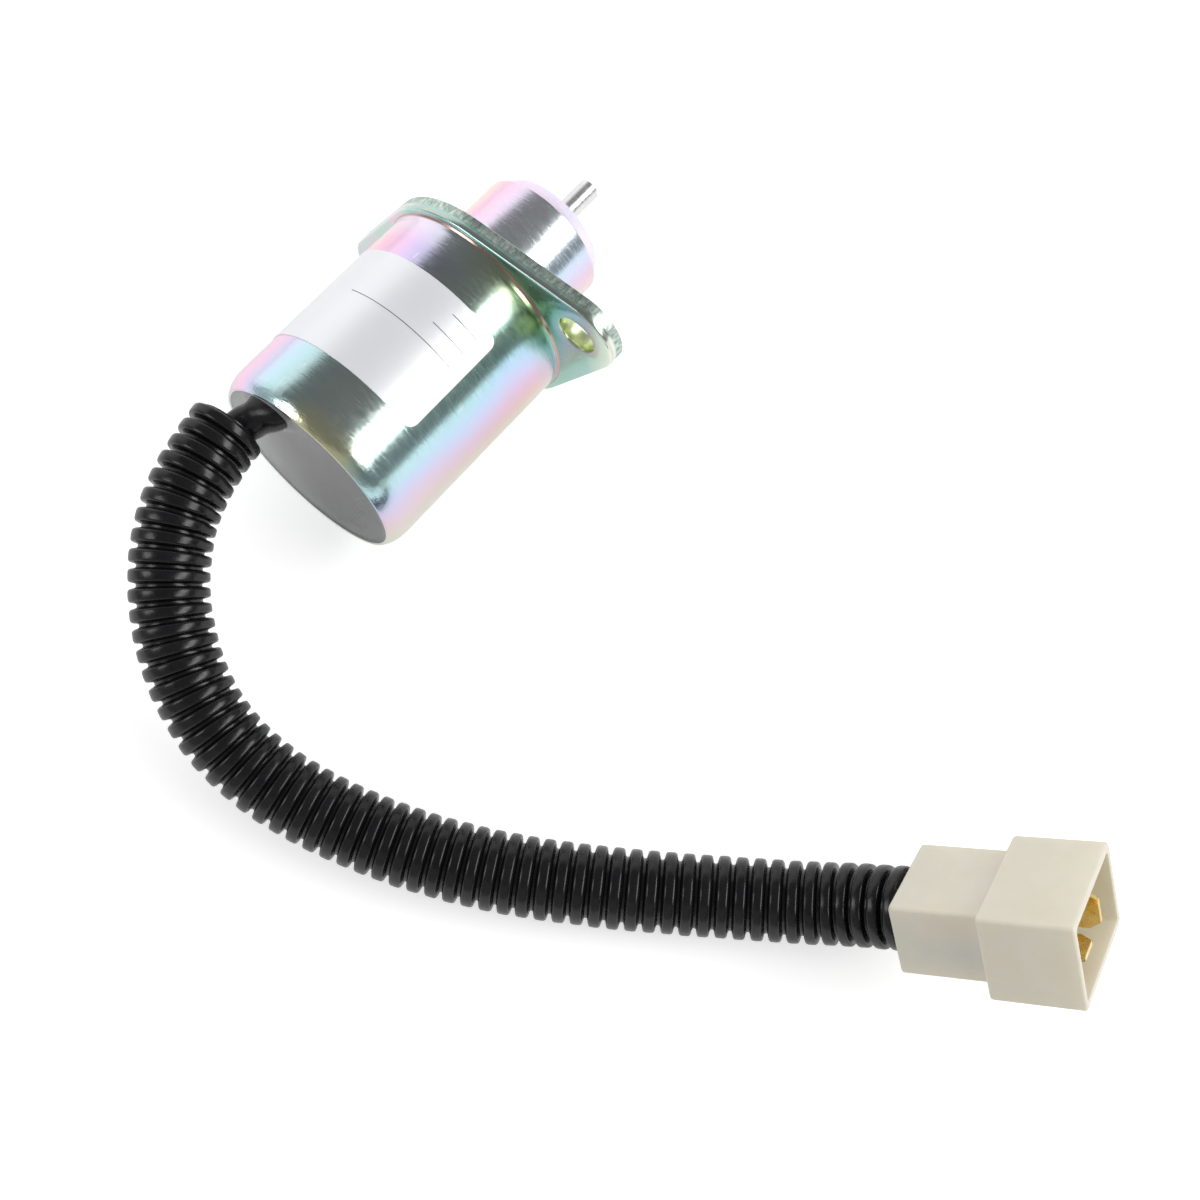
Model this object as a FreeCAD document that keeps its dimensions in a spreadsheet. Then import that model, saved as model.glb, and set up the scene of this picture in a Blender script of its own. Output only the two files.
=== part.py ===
import FreeCAD, Part
import math
import os
import Sketcher

os.makedirs("parts", exist_ok=True)
doc = FreeCAD.newDocument("solenoid")

# Sizes in millimetres. Stations run forward along the axis from the can's rear rim.
named_sizes = {
    "can_radius": 19.0,
    "can_length": 42.2,
    "can_wall": 1.2,
    "lip_thick": 2.0,
    "lip_width": 0.5,
    "rim_deep": 1.2,
    "rim_long": 1.6,
    "rim_round": 5.4,
    "front_wall": 1.5,
    "flare_length": 0.7,
    "flare_rise": 0.35,
    "flange_thick": 3.2,
    "lobe_radius": 7.3,
    "waist_radius": 20.33,
    "hole_spacing": 53.0,
    "bolt_hole_radius": 3.6,
    "edge_roll": 0.4,
    "spigot_radius": 10.0,
    "spigot_clearance": 0.03,
    "nose_radius": 12.3,
    "seat_depth": 0.4,
    "seat_clearance": 0.1,
    "root_relief": 0.2,
    "root_land": 0.2,
    "nose_length": 17.4,
    "chamfer_long": 3.0,
    "chamfer_deep": 2.2,
    "nose_front_wall": 2.5,
    "nose_hole_radius": 2.5,
    "bush_length": 4.0,
    "bush_radius": 4.5,
    "pin_radius": 2.0,
    "shank_radius": 2.25,
    "shank_stand": 0.4,
    "pin_clearance": 0.05,
    "pin_reach": 10.65,
    "pin_tip_break": 0.3,
    "pin_seat_depth": 8.0,
    "tube_bore": 7.05,
    "tube_wall": 0.5,
    "damper_thick": 1.0,
    "damper_bore": 2.6,
    "damper_radius": 6.6,
    "plunger_length": 25.3,
    "plunger_clearance": 0.05,
    "plunger_break": 0.5,
    "stroke": 10.0,
    "air_gap": 0.4,
    "spring_pocket_radius": 4.4,
    "core_pocket_depth": 5.0,
    "plunger_pocket_depth": 12.0,
    "spring_wire": 0.9,
    "spring_mean_radius": 3.6,
    "spring_turns": 9.0,
    "spring_seat_gap": 0.05,
    "potting_recess": 0.2,
    "potting_depth": 3.8,
    "disc_thick": 0.5,
    "flux_washer_thick": 2.5,
    "core_tail_radius": 5.0,
    "bobbin_end_gap": 0.1,
    "bobbin_tube_gap": 0.1,
    "bobbin_wall": 0.95,
    "bobbin_flange_radius": 17.0,
    "bobbin_flange_thick": 1.4,
    "holding_winding_depth": 4.0,
    "pull_winding_depth": 3.8,
    "tape_thick": 0.3,
    "label_start": 11.8,
    "label_length": 21.3,
    "label_thick": 0.12,
    "label_corner": 1.8,
    "lead_radius": 1.1,
    "lead_hole_radius": 2.6,
    "lead_offset": 1.3,
    "exit_side": 6.4,
    "exit_height": 12.3,
    "sleeve_radius": 3.1,
    "sleeve_bore": 2.5,
    "foot_long": 5.6,
    "foot_wide": 3.3,
    "foot_height": 2.4,
    "foot_collar": 0.3,
    "conduit_radius": 6.5,
    "conduit_bore": 5.0,
    "housing_side_step": 2.4,
    "housing_top_step": 1.15,
    "housing_rear_length": 14.0,
    "housing_front_width": 21.2,
    "housing_front_height": 14.2,
    "housing_front_length": 14.2,
    "housing_wall": 1.15,
    "housing_front_round": 1.1,
    "housing_rear_round": 1.0,
    "mouth_round": 0.6,
    "mouth_depth": 12.5,
    "chamber_side_wall": 0.85,
    "chamber_top_wall": 1.5,
    "chamber_depth": 4.0,
    "tab_width": 6.3,
    "tab_thick": 0.8,
    "tab_recess": 0.4,
    "tab_taper": 1.2,
    "tab_box_width": 7.16,
    "tab_box_thick": 3.36,
    "tab_box_length": 5.5,
    "tab_box_recess": 1.5,
    "tab_root": 0.5,
    "tab_clearance": 0.02,
    "barrel_radius": 1.55,
    "barrel_length": 4.4,
    "barrel_clearance": 0.02,
    "barrel_root": 0.2,
    "lead_end_gap": 0.3,
    "cross_offset": 3.9,
    "stem_offset": -3.7,
    "stem_drop": -1.5,
    "route_unit": 1.0,
}

sheet = doc.addObject("Spreadsheet::Sheet", "sizes")
for row, (alias, number) in enumerate(named_sizes.items(), start=1):
    sheet.set("A%d" % row, alias)
    sheet.set("B%d" % row, str(number))
    sheet.setAlias("B%d" % row, alias)
doc.recompute()


class Length:
    """A number in millimetres together with the formula that gives it."""

    def __init__(self, value, text):
        self.value = float(value)
        self.text = text

    def __add__(self, other):
        other = length(other)
        return Length(self.value + other.value, "(%s + %s)" % (self.text, other.text))

    def __sub__(self, other):
        other = length(other)
        return Length(self.value - other.value, "(%s - %s)" % (self.text, other.text))

    def __rsub__(self, other):
        return length(other) - self

    def __mul__(self, factor):
        return Length(self.value * factor, "(%s * %s)" % (self.text, factor))

    def __neg__(self):
        return Length(-self.value, "(0 - %s)" % self.text)


def length(item):
    if isinstance(item, Length):
        return item
    return Length(item, str(float(item)))


def size(alias):
    return Length(named_sizes[alias], "sizes." + alias)


zero = length(0)

# Turns in degrees: the label about the axis, the connector about the conduit's end.
label_turn = -42.5
connector_roll = 36.6

# Stations along the axis.
flange_back = size("can_length")
flange_front = flange_back + size("flange_thick")
can_front_inside = flange_back - size("front_wall")
nose_seat = flange_front - size("seat_depth")
nose_front = flange_front + size("nose_length")
bush_front = nose_front - size("nose_front_wall")
tube_front = bush_front - size("bush_length")
plunger_front = tube_front - size("damper_thick")
plunger_back = plunger_front - size("plunger_length")
plunger_floor = plunger_back + size("plunger_pocket_depth")
core_front = plunger_back - size("stroke") - size("air_gap")
core_floor = core_front - size("core_pocket_depth")
pin_back = plunger_front - size("pin_seat_depth")
pin_shoulder = nose_front + size("shank_stand")
pin_front = nose_front + size("pin_reach")
disc_back = size("potting_recess") + size("potting_depth")
washer_back = disc_back + size("disc_thick")
washer_front = washer_back + size("flux_washer_thick")
bobbin_back = washer_front + size("bobbin_end_gap")
bobbin_front = can_front_inside - size("bobbin_end_gap")
winding_back = bobbin_back + size("bobbin_flange_thick")
winding_front = bobbin_front - size("bobbin_flange_thick")

# Radii that follow from others.
can_bore = size("can_radius") - size("can_wall")
lip_bore = can_bore - size("lip_width")
spigot_hole = size("spigot_radius") + size("spigot_clearance")
tube_outside = size("tube_bore") + size("tube_wall")
plunger_radius = size("tube_bore") - size("plunger_clearance")
bobbin_bore = tube_outside + size("bobbin_tube_gap")
holding_inside = bobbin_bore + size("bobbin_wall")
holding_outside = holding_inside + size("holding_winding_depth")
pull_outside = holding_outside + size("pull_winding_depth")
tape_outside = pull_outside + size("tape_thick")


def origin_plane(body, role):
    return next(item for item in body.Origin.OriginFeatures if item.Role == role)


def sketch_on(body, role, name, offset=zero):
    sketch = body.newObject("Sketcher::SketchObject", name)
    sketch.AttachmentSupport = [(origin_plane(body, role), "")]
    sketch.MapMode = "FlatFace"
    if offset.value:
        sketch.AttachmentOffset = FreeCAD.Placement(FreeCAD.Vector(0, 0, offset.value), FreeCAD.Rotation())
        sketch.setExpression("AttachmentOffset.Base.z", offset.text)
    return sketch


def fix_point(sketch, geometry, position, across, up):
    for kind, amount, axis in (("DistanceX", across, -2), ("DistanceY", up, -1)):
        if abs(amount.value) < 1e-9:
            sketch.addConstraint(Sketcher.Constraint("PointOnObject", geometry, position, axis))
        elif amount.value > 0:
            index = sketch.addConstraint(
                Sketcher.Constraint(kind, -1, 1, geometry, position, amount.value))
            sketch.setExpression("Constraints[%d]" % index, amount.text)
        else:
            index = sketch.addConstraint(
                Sketcher.Constraint(kind, geometry, position, -1, 1, -amount.value))
            sketch.setExpression("Constraints[%d]" % index, (-amount).text)


def polygon(sketch, corners):
    count = len(corners)
    spots = [FreeCAD.Vector(length(a).value, length(b).value, 0) for a, b in corners]
    for index in range(count):
        sketch.addGeometry(Part.LineSegment(spots[index], spots[(index + 1) % count]), False)
    for index in range(count):
        sketch.addConstraint(Sketcher.Constraint("Coincident", index, 2, (index + 1) % count, 1))
    for index, (across, up) in enumerate(corners):
        fix_point(sketch, index, 1, length(across), length(up))


def circle(sketch, across, up, radius):
    index = sketch.addGeometry(
        Part.Circle(FreeCAD.Vector(across.value, up.value, 0), FreeCAD.Vector(0, 0, 1), radius.value), False)
    if across.value == 0 and up.value == 0:
        sketch.addConstraint(Sketcher.Constraint("Coincident", index, 3, -1, 1))
    else:
        fix_point(sketch, index, 3, across, up)
    bound = sketch.addConstraint(Sketcher.Constraint("Radius", index, radius.value))
    sketch.setExpression("Constraints[%d]" % bound, radius.text)


def box_corners(width, height, across=zero, up=zero):
    left, right = across - width * 0.5, across + width * 0.5
    low, high = up - height * 0.5, up + height * 0.5
    return [(left, low), (right, low), (right, high), (left, high)]


def new_body(label):
    body = doc.addObject("PartDesign::Body", label)
    body.Label = label
    return body


def on_axis(body):
    body.setExpression("Placement.Base.x", "-(sizes.can_length + sizes.flange_thick)")
    return body


def turned(label, corners, angle=360):
    body = new_body(label)
    sketch = sketch_on(body, "XY_Plane", label + "_profile")
    polygon(sketch, corners)
    turn = body.newObject("PartDesign::Revolution", label + "_turn")
    turn.Profile = sketch
    turn.ReferenceAxis = (sketch, ["H_Axis"])
    turn.Angle = angle
    doc.recompute()
    return on_axis(body)


def ring(label, back, front, inside, outside):
    return turned(label, [(back, inside), (back, outside), (front, outside), (front, inside)])


def pad(body, sketch, name, height):
    feature = body.newObject("PartDesign::Pad", name)
    feature.Profile = sketch
    feature.Length = height.value
    feature.setExpression("Length", height.text)
    doc.recompute()
    return feature


def pocket(body, sketch, name, depth=None):
    before = body.Shape.Volume
    feature = body.newObject("PartDesign::Pocket", name)
    feature.Profile = sketch
    if depth is None:
        feature.Type = 1
    else:
        feature.Length = depth.value
        feature.setExpression("Length", depth.text)
    doc.recompute()
    assert body.Shape.Volume < before - 1e-3, name + " removed nothing"
    return feature


def bored(body, name, front, across, up, radius):
    sketch = sketch_on(body, "YZ_Plane", name + "_circle", front)
    circle(sketch, across, up, radius)
    return pocket(body, sketch, name)


def rounded(body, name, feature, edges, radius):
    assert edges, name + " found no edge"
    fillet = body.newObject("PartDesign::Fillet", name)
    fillet.Base = (feature, edges)
    fillet.Radius = radius.value
    fillet.setExpression("Radius", radius.text)
    doc.recompute()
    return fillet


def edge_names(feature, test):
    return ["Edge%d" % (index + 1) for index, edge in enumerate(feature.Shape.Edges) if test(edge)]


def is_circle_at(edge, station, radius):
    curve = edge.Curve
    return (isinstance(curve, Part.Circle) and abs(curve.Radius - radius.value) < 1e-4
            and abs(curve.Center.x - station.value) < 1e-4)


def is_upright_at(edge, across, up):
    spots = [vertex.Point for vertex in edge.Vertexes]
    if len(spots) != 2:
        return False
    level = abs(spots[0].x - spots[1].x) < 1e-6 and abs(spots[0].y - spots[1].y) < 1e-6
    return level and abs(abs(spots[0].x) - across) < 1e-4 and abs(abs(spots[0].y) - up) < 1e-4


# Drawn steel can, its rear end rolled in to a lip, with a small flare against the flange.
can = turned("case_can", [
    (zero, lip_bore),
    (zero, size("can_radius") - size("rim_deep")),
    (size("rim_long"), size("can_radius")),
    (flange_back - size("flare_length"), size("can_radius")),
    (flange_back, size("can_radius") + size("flare_rise")),
    (flange_back, spigot_hole),
    (can_front_inside, spigot_hole),
    (can_front_inside, can_bore),
    (size("lip_thick"), can_bore),
    (size("lip_thick"), lip_bore),
])
can_turn = can.Tip
rounded(can, "case_can_rim", can_turn,
        edge_names(can_turn, lambda edge: is_circle_at(edge, size("rim_long"), size("can_radius"))), size("rim_round"))

# Stamped flange: two lobes joined to a round waist by tangent sides.
flange = new_body("flange_plate")
outline = sketch_on(flange, "YZ_Plane", "flange_outline", flange_back)
half_spacing = size("hole_spacing") * 0.5
lobe = size("lobe_radius")
waist = size("waist_radius")
tilt = math.acos((waist.value - lobe.value) / half_spacing.value)
axis_up = FreeCAD.Vector(0, 0, 1)


def polar(centre, radius, angle):
    return FreeCAD.Vector(centre + radius * math.cos(angle), radius * math.sin(angle), 0)


reach = half_spacing.value
right_lobe = Part.Circle(FreeCAD.Vector(reach, 0, 0), axis_up, lobe.value)
left_lobe = Part.Circle(FreeCAD.Vector(-reach, 0, 0), axis_up, lobe.value)
waist_circle = Part.Circle(FreeCAD.Vector(0, 0, 0), axis_up, waist.value)
outline.addGeometry(Part.ArcOfCircle(right_lobe, -tilt, tilt), False)
outline.addGeometry(Part.LineSegment(polar(reach, lobe.value, tilt), polar(0, waist.value, tilt)), False)
outline.addGeometry(Part.ArcOfCircle(waist_circle, tilt, math.pi - tilt), False)
outline.addGeometry(Part.LineSegment(polar(0, waist.value, math.pi - tilt),
                                     polar(-reach, lobe.value, math.pi - tilt)), False)
outline.addGeometry(Part.ArcOfCircle(left_lobe, math.pi - tilt, math.pi + tilt), False)
outline.addGeometry(Part.LineSegment(polar(-reach, lobe.value, math.pi + tilt),
                                     polar(0, waist.value, math.pi + tilt)), False)
outline.addGeometry(Part.ArcOfCircle(waist_circle, math.pi + tilt, 2 * math.pi - tilt), False)
outline.addGeometry(Part.LineSegment(polar(0, waist.value, -tilt), polar(reach, lobe.value, -tilt)), False)
for first, second in ((0, 1), (1, 2), (2, 3), (3, 4), (4, 5), (5, 6), (6, 7), (7, 0)):
    outline.addConstraint(Sketcher.Constraint("Tangent", first, 2, second, 1))
outline.addConstraint(Sketcher.Constraint("Coincident", 2, 3, -1, 1))
outline.addConstraint(Sketcher.Constraint("Coincident", 6, 3, -1, 1))
fix_point(outline, 0, 3, half_spacing, zero)
fix_point(outline, 4, 3, -half_spacing, zero)
bound = outline.addConstraint(Sketcher.Constraint("Radius", 0, lobe.value))
outline.setExpression("Constraints[%d]" % bound, lobe.text)
outline.addConstraint(Sketcher.Constraint("Equal", 0, 4))
bound = outline.addConstraint(Sketcher.Constraint("Radius", 2, waist.value))
outline.setExpression("Constraints[%d]" % bound, waist.text)
outline.addConstraint(Sketcher.Constraint("Equal", 2, 6))
plate = pad(flange, outline, "flange_pad", size("flange_thick"))
back_edges = edge_names(plate, lambda edge: abs(edge.BoundBox.XMax - flange_back.value) < 1e-4)
rounded(flange, "flange_edge_roll", plate, back_edges, size("edge_roll"))
holes = sketch_on(flange, "YZ_Plane", "flange_holes", flange_front)
circle(holes, zero, zero, spigot_hole)
circle(holes, half_spacing, zero, size("bolt_hole_radius"))
circle(holes, -half_spacing, zero, size("bolt_hole_radius"))
pocket(flange, holes, "flange_drilled")
recess = sketch_on(flange, "YZ_Plane", "flange_seat_circle", flange_front)
circle(recess, zero, zero, size("nose_radius") + size("seat_clearance"))
pocket(flange, recess, "flange_seat", size("seat_depth"))
lean = math.degrees(math.asin((waist.value - lobe.value) / half_spacing.value))
flange.Placement = FreeCAD.Placement(FreeCAD.Vector(0, 0, 0), FreeCAD.Rotation(FreeCAD.Vector(1, 0, 0), -lean))
on_axis(flange)

# Turned nose, seated in the flange's recess, with its spigot through flange and can and a deep chamfer.
turned("nose_piece", [
    (can_front_inside, tube_outside),
    (can_front_inside, size("spigot_radius")),
    (nose_seat, size("spigot_radius")),
    (nose_seat, size("nose_radius") - size("root_relief")),
    (flange_front + size("root_land"), size("nose_radius") - size("root_relief")),
    (flange_front + size("root_land"), size("nose_radius")),
    (nose_front - size("chamfer_long"), size("nose_radius")),
    (nose_front, size("nose_radius") - size("chamfer_deep")),
    (nose_front, size("nose_hole_radius")),
    (bush_front, size("nose_hole_radius")),
    (bush_front, size("bush_radius")),
    (tube_front, size("bush_radius")),
    (tube_front, tube_outside),
])

# Bush and damper washer at the front stop.
ring("pin_bush", tube_front, bush_front, size("shank_radius") + size("pin_clearance"), size("bush_radius"))
ring("damper_washer", plunger_front, tube_front, size("damper_bore"), size("damper_radius"))

# Brass guide tube, held between the flux washer and the nose.
ring("guide_tube", washer_front, tube_front, size("tube_bore"), tube_outside)

# Rear core with a tail through the flux washer and a pocket for the spring.
turned("rear_core", [
    (washer_back, zero),
    (washer_back, size("core_tail_radius")),
    (washer_front, size("core_tail_radius")),
    (washer_front, size("tube_bore")),
    (core_front, size("tube_bore")),
    (core_front, size("spring_pocket_radius")),
    (core_floor, size("spring_pocket_radius")),
    (core_floor, zero),
])

# Plunger, with the spring's pocket behind and the seat of the stepped pin in front.
turned("plunger", [
    (plunger_floor, zero),
    (plunger_floor, size("spring_pocket_radius")),
    (plunger_back, size("spring_pocket_radius")),
    (plunger_back, plunger_radius - size("plunger_break")),
    (plunger_back + size("plunger_break"), plunger_radius),
    (plunger_front - size("plunger_break"), plunger_radius),
    (plunger_front, plunger_radius - size("plunger_break")),
    (plunger_front, size("shank_radius")),
    (pin_back, size("shank_radius")),
    (pin_back, zero),
])
shoulder_front = pin_shoulder + size("shank_radius") - size("pin_radius")
turned("push_pin", [
    (pin_back, zero),
    (pin_back, size("shank_radius")),
    (pin_shoulder, size("shank_radius")),
    (shoulder_front, size("pin_radius")),
    (pin_front - size("pin_tip_break"), size("pin_radius")),
    (pin_front, size("pin_radius") - size("pin_tip_break")),
    (pin_front, zero),
])

# Return spring between the two pocket floors.
spring = new_body("return_spring")
wire_section = sketch_on(spring, "XY_Plane", "spring_wire_section")
wire_half = size("spring_wire") * 0.5
spring_first = core_floor + size("spring_seat_gap") + wire_half
spring_last = plunger_floor - size("spring_seat_gap") - wire_half
circle(wire_section, spring_first, size("spring_mean_radius"), wire_half)
coil = spring.newObject("PartDesign::AdditiveHelix", "spring_coil")
coil.Profile = wire_section
coil.ReferenceAxis = (wire_section, ["H_Axis"])
coil.Mode = 2
coil.Height = spring_last.value - spring_first.value
coil.setExpression("Height", (spring_last - spring_first).text)
coil.Turns = named_sizes["spring_turns"]
coil.setExpression("Turns", "sizes.spring_turns")
doc.recompute()
on_axis(spring)

# Coil: bobbin, two windings and the tape over them.
turned("coil_bobbin", [
    (bobbin_back, bobbin_bore),
    (bobbin_back, size("bobbin_flange_radius")),
    (winding_back, size("bobbin_flange_radius")),
    (winding_back, holding_inside),
    (winding_front, holding_inside),
    (winding_front, size("bobbin_flange_radius")),
    (bobbin_front, size("bobbin_flange_radius")),
    (bobbin_front, bobbin_bore),
])
ring("holding_winding", winding_back, winding_front, holding_inside, holding_outside)
ring("pull_winding", winding_back, winding_front, holding_outside, pull_outside)
ring("winding_tape", winding_back, winding_front, pull_outside, tape_outside)

# Rear closure: flux washer, insulating disc and resin, each with an opening for the leads.
side = size("exit_side")
height = size("exit_height")
flux_washer = ring("rear_flux_washer", washer_back, washer_front, size("core_tail_radius"), can_bore)
bored(flux_washer, "flux_washer_lead_hole", washer_front, side, height, size("lead_hole_radius"))
disc = turned("insulating_disc", [(disc_back, zero), (disc_back, can_bore), (washer_back, can_bore),
                                  (washer_back, zero)])
bored(disc, "disc_lead_hole", washer_back, side, height, size("lead_hole_radius"))
resin = turned("potting", [
    (size("potting_recess"), zero),
    (size("potting_recess"), lip_bore),
    (size("lip_thick"), lip_bore),
    (size("lip_thick"), can_bore),
    (disc_back, can_bore),
    (disc_back, zero),
])
bored(resin, "potting_sleeve_hole", disc_back, side, height, size("sleeve_radius"))

# Film label with rounded corners, wrapped half round the can.
label_front = size("label_start") + size("label_length")
label_outside = size("can_radius") + size("label_thick")
label = turned("blank_label", [
    (size("label_start"), size("can_radius")),
    (size("label_start"), label_outside),
    (label_front, label_outside),
    (label_front, size("can_radius")),
], 180)
film = label.Tip
rounded(label, "label_corners", film,
        edge_names(film, lambda edge: abs(edge.Length - size("label_thick").value) < 1e-4), size("label_corner"))
label.Placement = FreeCAD.Placement(FreeCAD.Vector(0, 0, 0), FreeCAD.Rotation(FreeCAD.Vector(1, 0, 0), label_turn))
on_axis(label)

rear = FreeCAD.Vector(-flange_front.value, 0, 0)
unit = named_sizes["route_unit"]


def spot(along, across, up):
    """A place in millimetres from the can's rear rim and the axis."""
    return rear + FreeCAD.Vector(along, across, up)


def route_spot(along, across, up):
    """The same in route units, for the free routes of the cords."""
    return rear + FreeCAD.Vector(along, across, up) * unit


def smooth_path(points, note):
    """Straight runs joined by tangent arcs, as one wire."""
    edges = []
    radii = []
    start = points[0]
    for before, corner, after in zip(points, points[1:], points[2:]):
        arriving = (corner - before).normalize()
        leaving = (after - corner).normalize()
        half_turn = 0.5 * arriving.getAngle(leaving)
        trim = 0.45 * min((corner - before).Length, (after - corner).Length)
        radii.append(trim / math.tan(half_turn))
        arc_start = corner - arriving * trim
        arc_end = corner + leaving * trim
        towards = (leaving - arriving).normalize()
        arc_middle = corner + towards * (radii[-1] / math.cos(half_turn) - radii[-1])
        edges.append(Part.LineSegment(start, arc_start).toShape())
        edges.append(Part.Arc(arc_start, arc_middle, arc_end).toShape())
        start = arc_end
    edges.append(Part.LineSegment(start, points[-1]).toShape())
    print(note, "arc radii", [round(radius, 1) for radius in radii])
    return Part.Wire(edges)


def swept(path, radius):
    direction = path.Edges[0].tangentAt(path.Edges[0].FirstParameter)
    section = Part.Wire([Part.Circle(path.Edges[0].valueAt(path.Edges[0].FirstParameter),
                                     direction, radius).toShape()])
    solid = path.makePipeShell([section], True, True)
    expected = math.pi * radius ** 2 * path.Length
    assert abs(solid.Volume - expected) < 0.01 * expected, "sweep volume is off"
    return solid


def add_shape(label, shape):
    item = doc.addObject("Part::Feature", label)
    item.Label = label
    item.Shape = shape
    return item


# Conduit route from the can's rear round to the connector.
route = [
    route_spot(-5.1, 10.0, 10.7),
    route_spot(-13.6, 9.0, 10.2),
    route_spot(-24.6, 5.4, 7.7),
    route_spot(-35.2, -2.2, 2.4),
    route_spot(-41.6, -14.3, -3.6),
    route_spot(-42.4, -28.5, -9.0),
    route_spot(-38.4, -46.0, -12.6),
    route_spot(-30.5, -64.4, -13.8),
    route_spot(-19.6, -82.0, -13.8),
    route_spot(-9.2, -96.8, -13.5),
    route_spot(-1.9, -107.6, -11.8),
    route_spot(2.85, -114.7, -9.1),
    route_spot(5.65, -120.25, -5.7),
]
conduit_path = smooth_path(route, "conduit")
print("conduit length", round(conduit_path.Length, 2))
add_shape("conduit", swept(conduit_path, named_sizes["conduit_radius"]).cut(
    swept(conduit_path, named_sizes["conduit_bore"])))

# Sleeve over the leads, with a flared foot lying on the resin.
exit_y = named_sizes["exit_side"]
exit_z = named_sizes["exit_height"]
disc_x = disc_back.value
resin_x = named_sizes["potting_recess"]
sleeve_route = [
    spot(disc_x, exit_y, exit_z),
    spot(-unit, exit_y, exit_z),
    route_spot(-5.6, 8.9, 10.9),
    route_spot(-12.4, 8.4, 10.2),
    route_spot(-18.0, 7.0, 9.1),
]
sleeve_path = smooth_path(sleeve_route, "sleeve")
sleeve_bore = swept(sleeve_path, named_sizes["sleeve_bore"])
foot_turn = FreeCAD.Rotation(FreeCAD.Vector(1, 0, 0), math.degrees(math.atan2(exit_y, -exit_z)))
foot_base = Part.Ellipse(FreeCAD.Vector(0, 0, 0), named_sizes["foot_long"], named_sizes["foot_wide"])
foot_ring = Part.Wire([foot_base.toShape()])
foot_ring.Placement = FreeCAD.Placement(spot(resin_x, exit_y, exit_z),
                                        foot_turn.multiply(FreeCAD.Rotation(0.5, 0.5, 0.5, 0.5)))
collar = named_sizes["sleeve_radius"] + named_sizes["foot_collar"]
foot_top = Part.Ellipse(FreeCAD.Vector(0, 0, 0), collar * 1.001, collar)
foot_top_ring = Part.Wire([foot_top.toShape()])
foot_top_centre = spot(resin_x - named_sizes["foot_height"], exit_y, exit_z) + FreeCAD.Vector(0, 0.28, -0.22) * unit
foot_top_ring.Placement = FreeCAD.Placement(foot_top_centre,
                                            foot_turn.multiply(FreeCAD.Rotation(0.5, 0.5, 0.5, 0.5)))
foot = Part.makeLoft([foot_ring, foot_top_ring], True, True)
sleeve = swept(sleeve_path, named_sizes["sleeve_radius"]).fuse(foot).cut(sleeve_bore)
add_shape("lead_sleeve", sleeve)

# Connector frame: forward along the last run of the conduit, rolled about it.
forward = (route[-1] - route[-2]).normalize()
level = forward.cross(FreeCAD.Vector(0, 0, 1)).normalize()
over = level.cross(forward)
roll = math.radians(connector_roll)
across = level * -math.cos(roll) - over * math.sin(roll)
frame = FreeCAD.Placement(route[-1], FreeCAD.Rotation(across, forward.cross(across), forward, "ZXY"))

# Connector housing: narrower rear, wider front with an open mouth, slots for the two tabs.
housing = new_body("connector_housing")
rear_width = size("housing_front_width") - size("housing_side_step") * 2
rear_height = size("housing_front_height") - size("housing_top_step") * 2
step = size("housing_rear_length")
mouth = step + size("housing_front_length")
floor = mouth - size("mouth_depth")
block = sketch_on(housing, "XY_Plane", "housing_rear_outline")
polygon(block, box_corners(rear_width, rear_height))
rear_block = pad(housing, block, "housing_rear", step)
block = sketch_on(housing, "XY_Plane", "housing_front_outline", step)
polygon(block, box_corners(size("housing_front_width"), size("housing_front_height")))
front_block = pad(housing, block, "housing_front", size("housing_front_length"))
half_front = (named_sizes["housing_front_width"] / 2, named_sizes["housing_front_height"] / 2)
half_rear = (rear_width.value / 2, rear_height.value / 2)
front_round = rounded(housing, "housing_front_corners", front_block,
                      edge_names(front_block, lambda edge: is_upright_at(edge, *half_front)),
                      size("housing_front_round"))
rounded(housing, "housing_rear_corners", front_round,
        edge_names(front_round, lambda edge: is_upright_at(edge, *half_rear)),
        size("housing_rear_round"))
cut = sketch_on(housing, "XY_Plane", "housing_mouth_outline", mouth)
inner_width = size("housing_front_width") - size("housing_wall") * 2
inner_height = size("housing_front_height") - size("housing_wall") * 2
polygon(cut, box_corners(inner_width, inner_height))
mouth_pocket = pocket(housing, cut, "housing_mouth", size("mouth_depth"))
rounded(housing, "housing_mouth_corners", mouth_pocket,
        edge_names(mouth_pocket, lambda edge: is_upright_at(edge, inner_width.value / 2, inner_height.value / 2)),
        size("mouth_round"))
cut = sketch_on(housing, "XY_Plane", "housing_chamber_outline", size("chamber_depth"))
polygon(cut, box_corners(rear_width - size("chamber_side_wall") * 2, rear_height - size("chamber_top_wall") * 2))
pocket(housing, cut, "housing_chamber", size("chamber_depth"))
slot_width = size("tab_box_width") + size("tab_clearance") * 2
slot_thick = size("tab_box_thick") + size("tab_clearance") * 2
slot_depth = floor - size("chamber_depth")
cut = sketch_on(housing, "XY_Plane", "housing_cross_slot_outline", floor)
polygon(cut, box_corners(slot_thick, slot_width, size("cross_offset")))
pocket(housing, cut, "housing_cross_slot", slot_depth)
cut = sketch_on(housing, "XY_Plane", "housing_stem_slot_outline", floor)
polygon(cut, box_corners(slot_width, slot_thick, size("stem_offset"), size("stem_drop")))
pocket(housing, cut, "housing_stem_slot", slot_depth)
housing.Placement = frame


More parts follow.
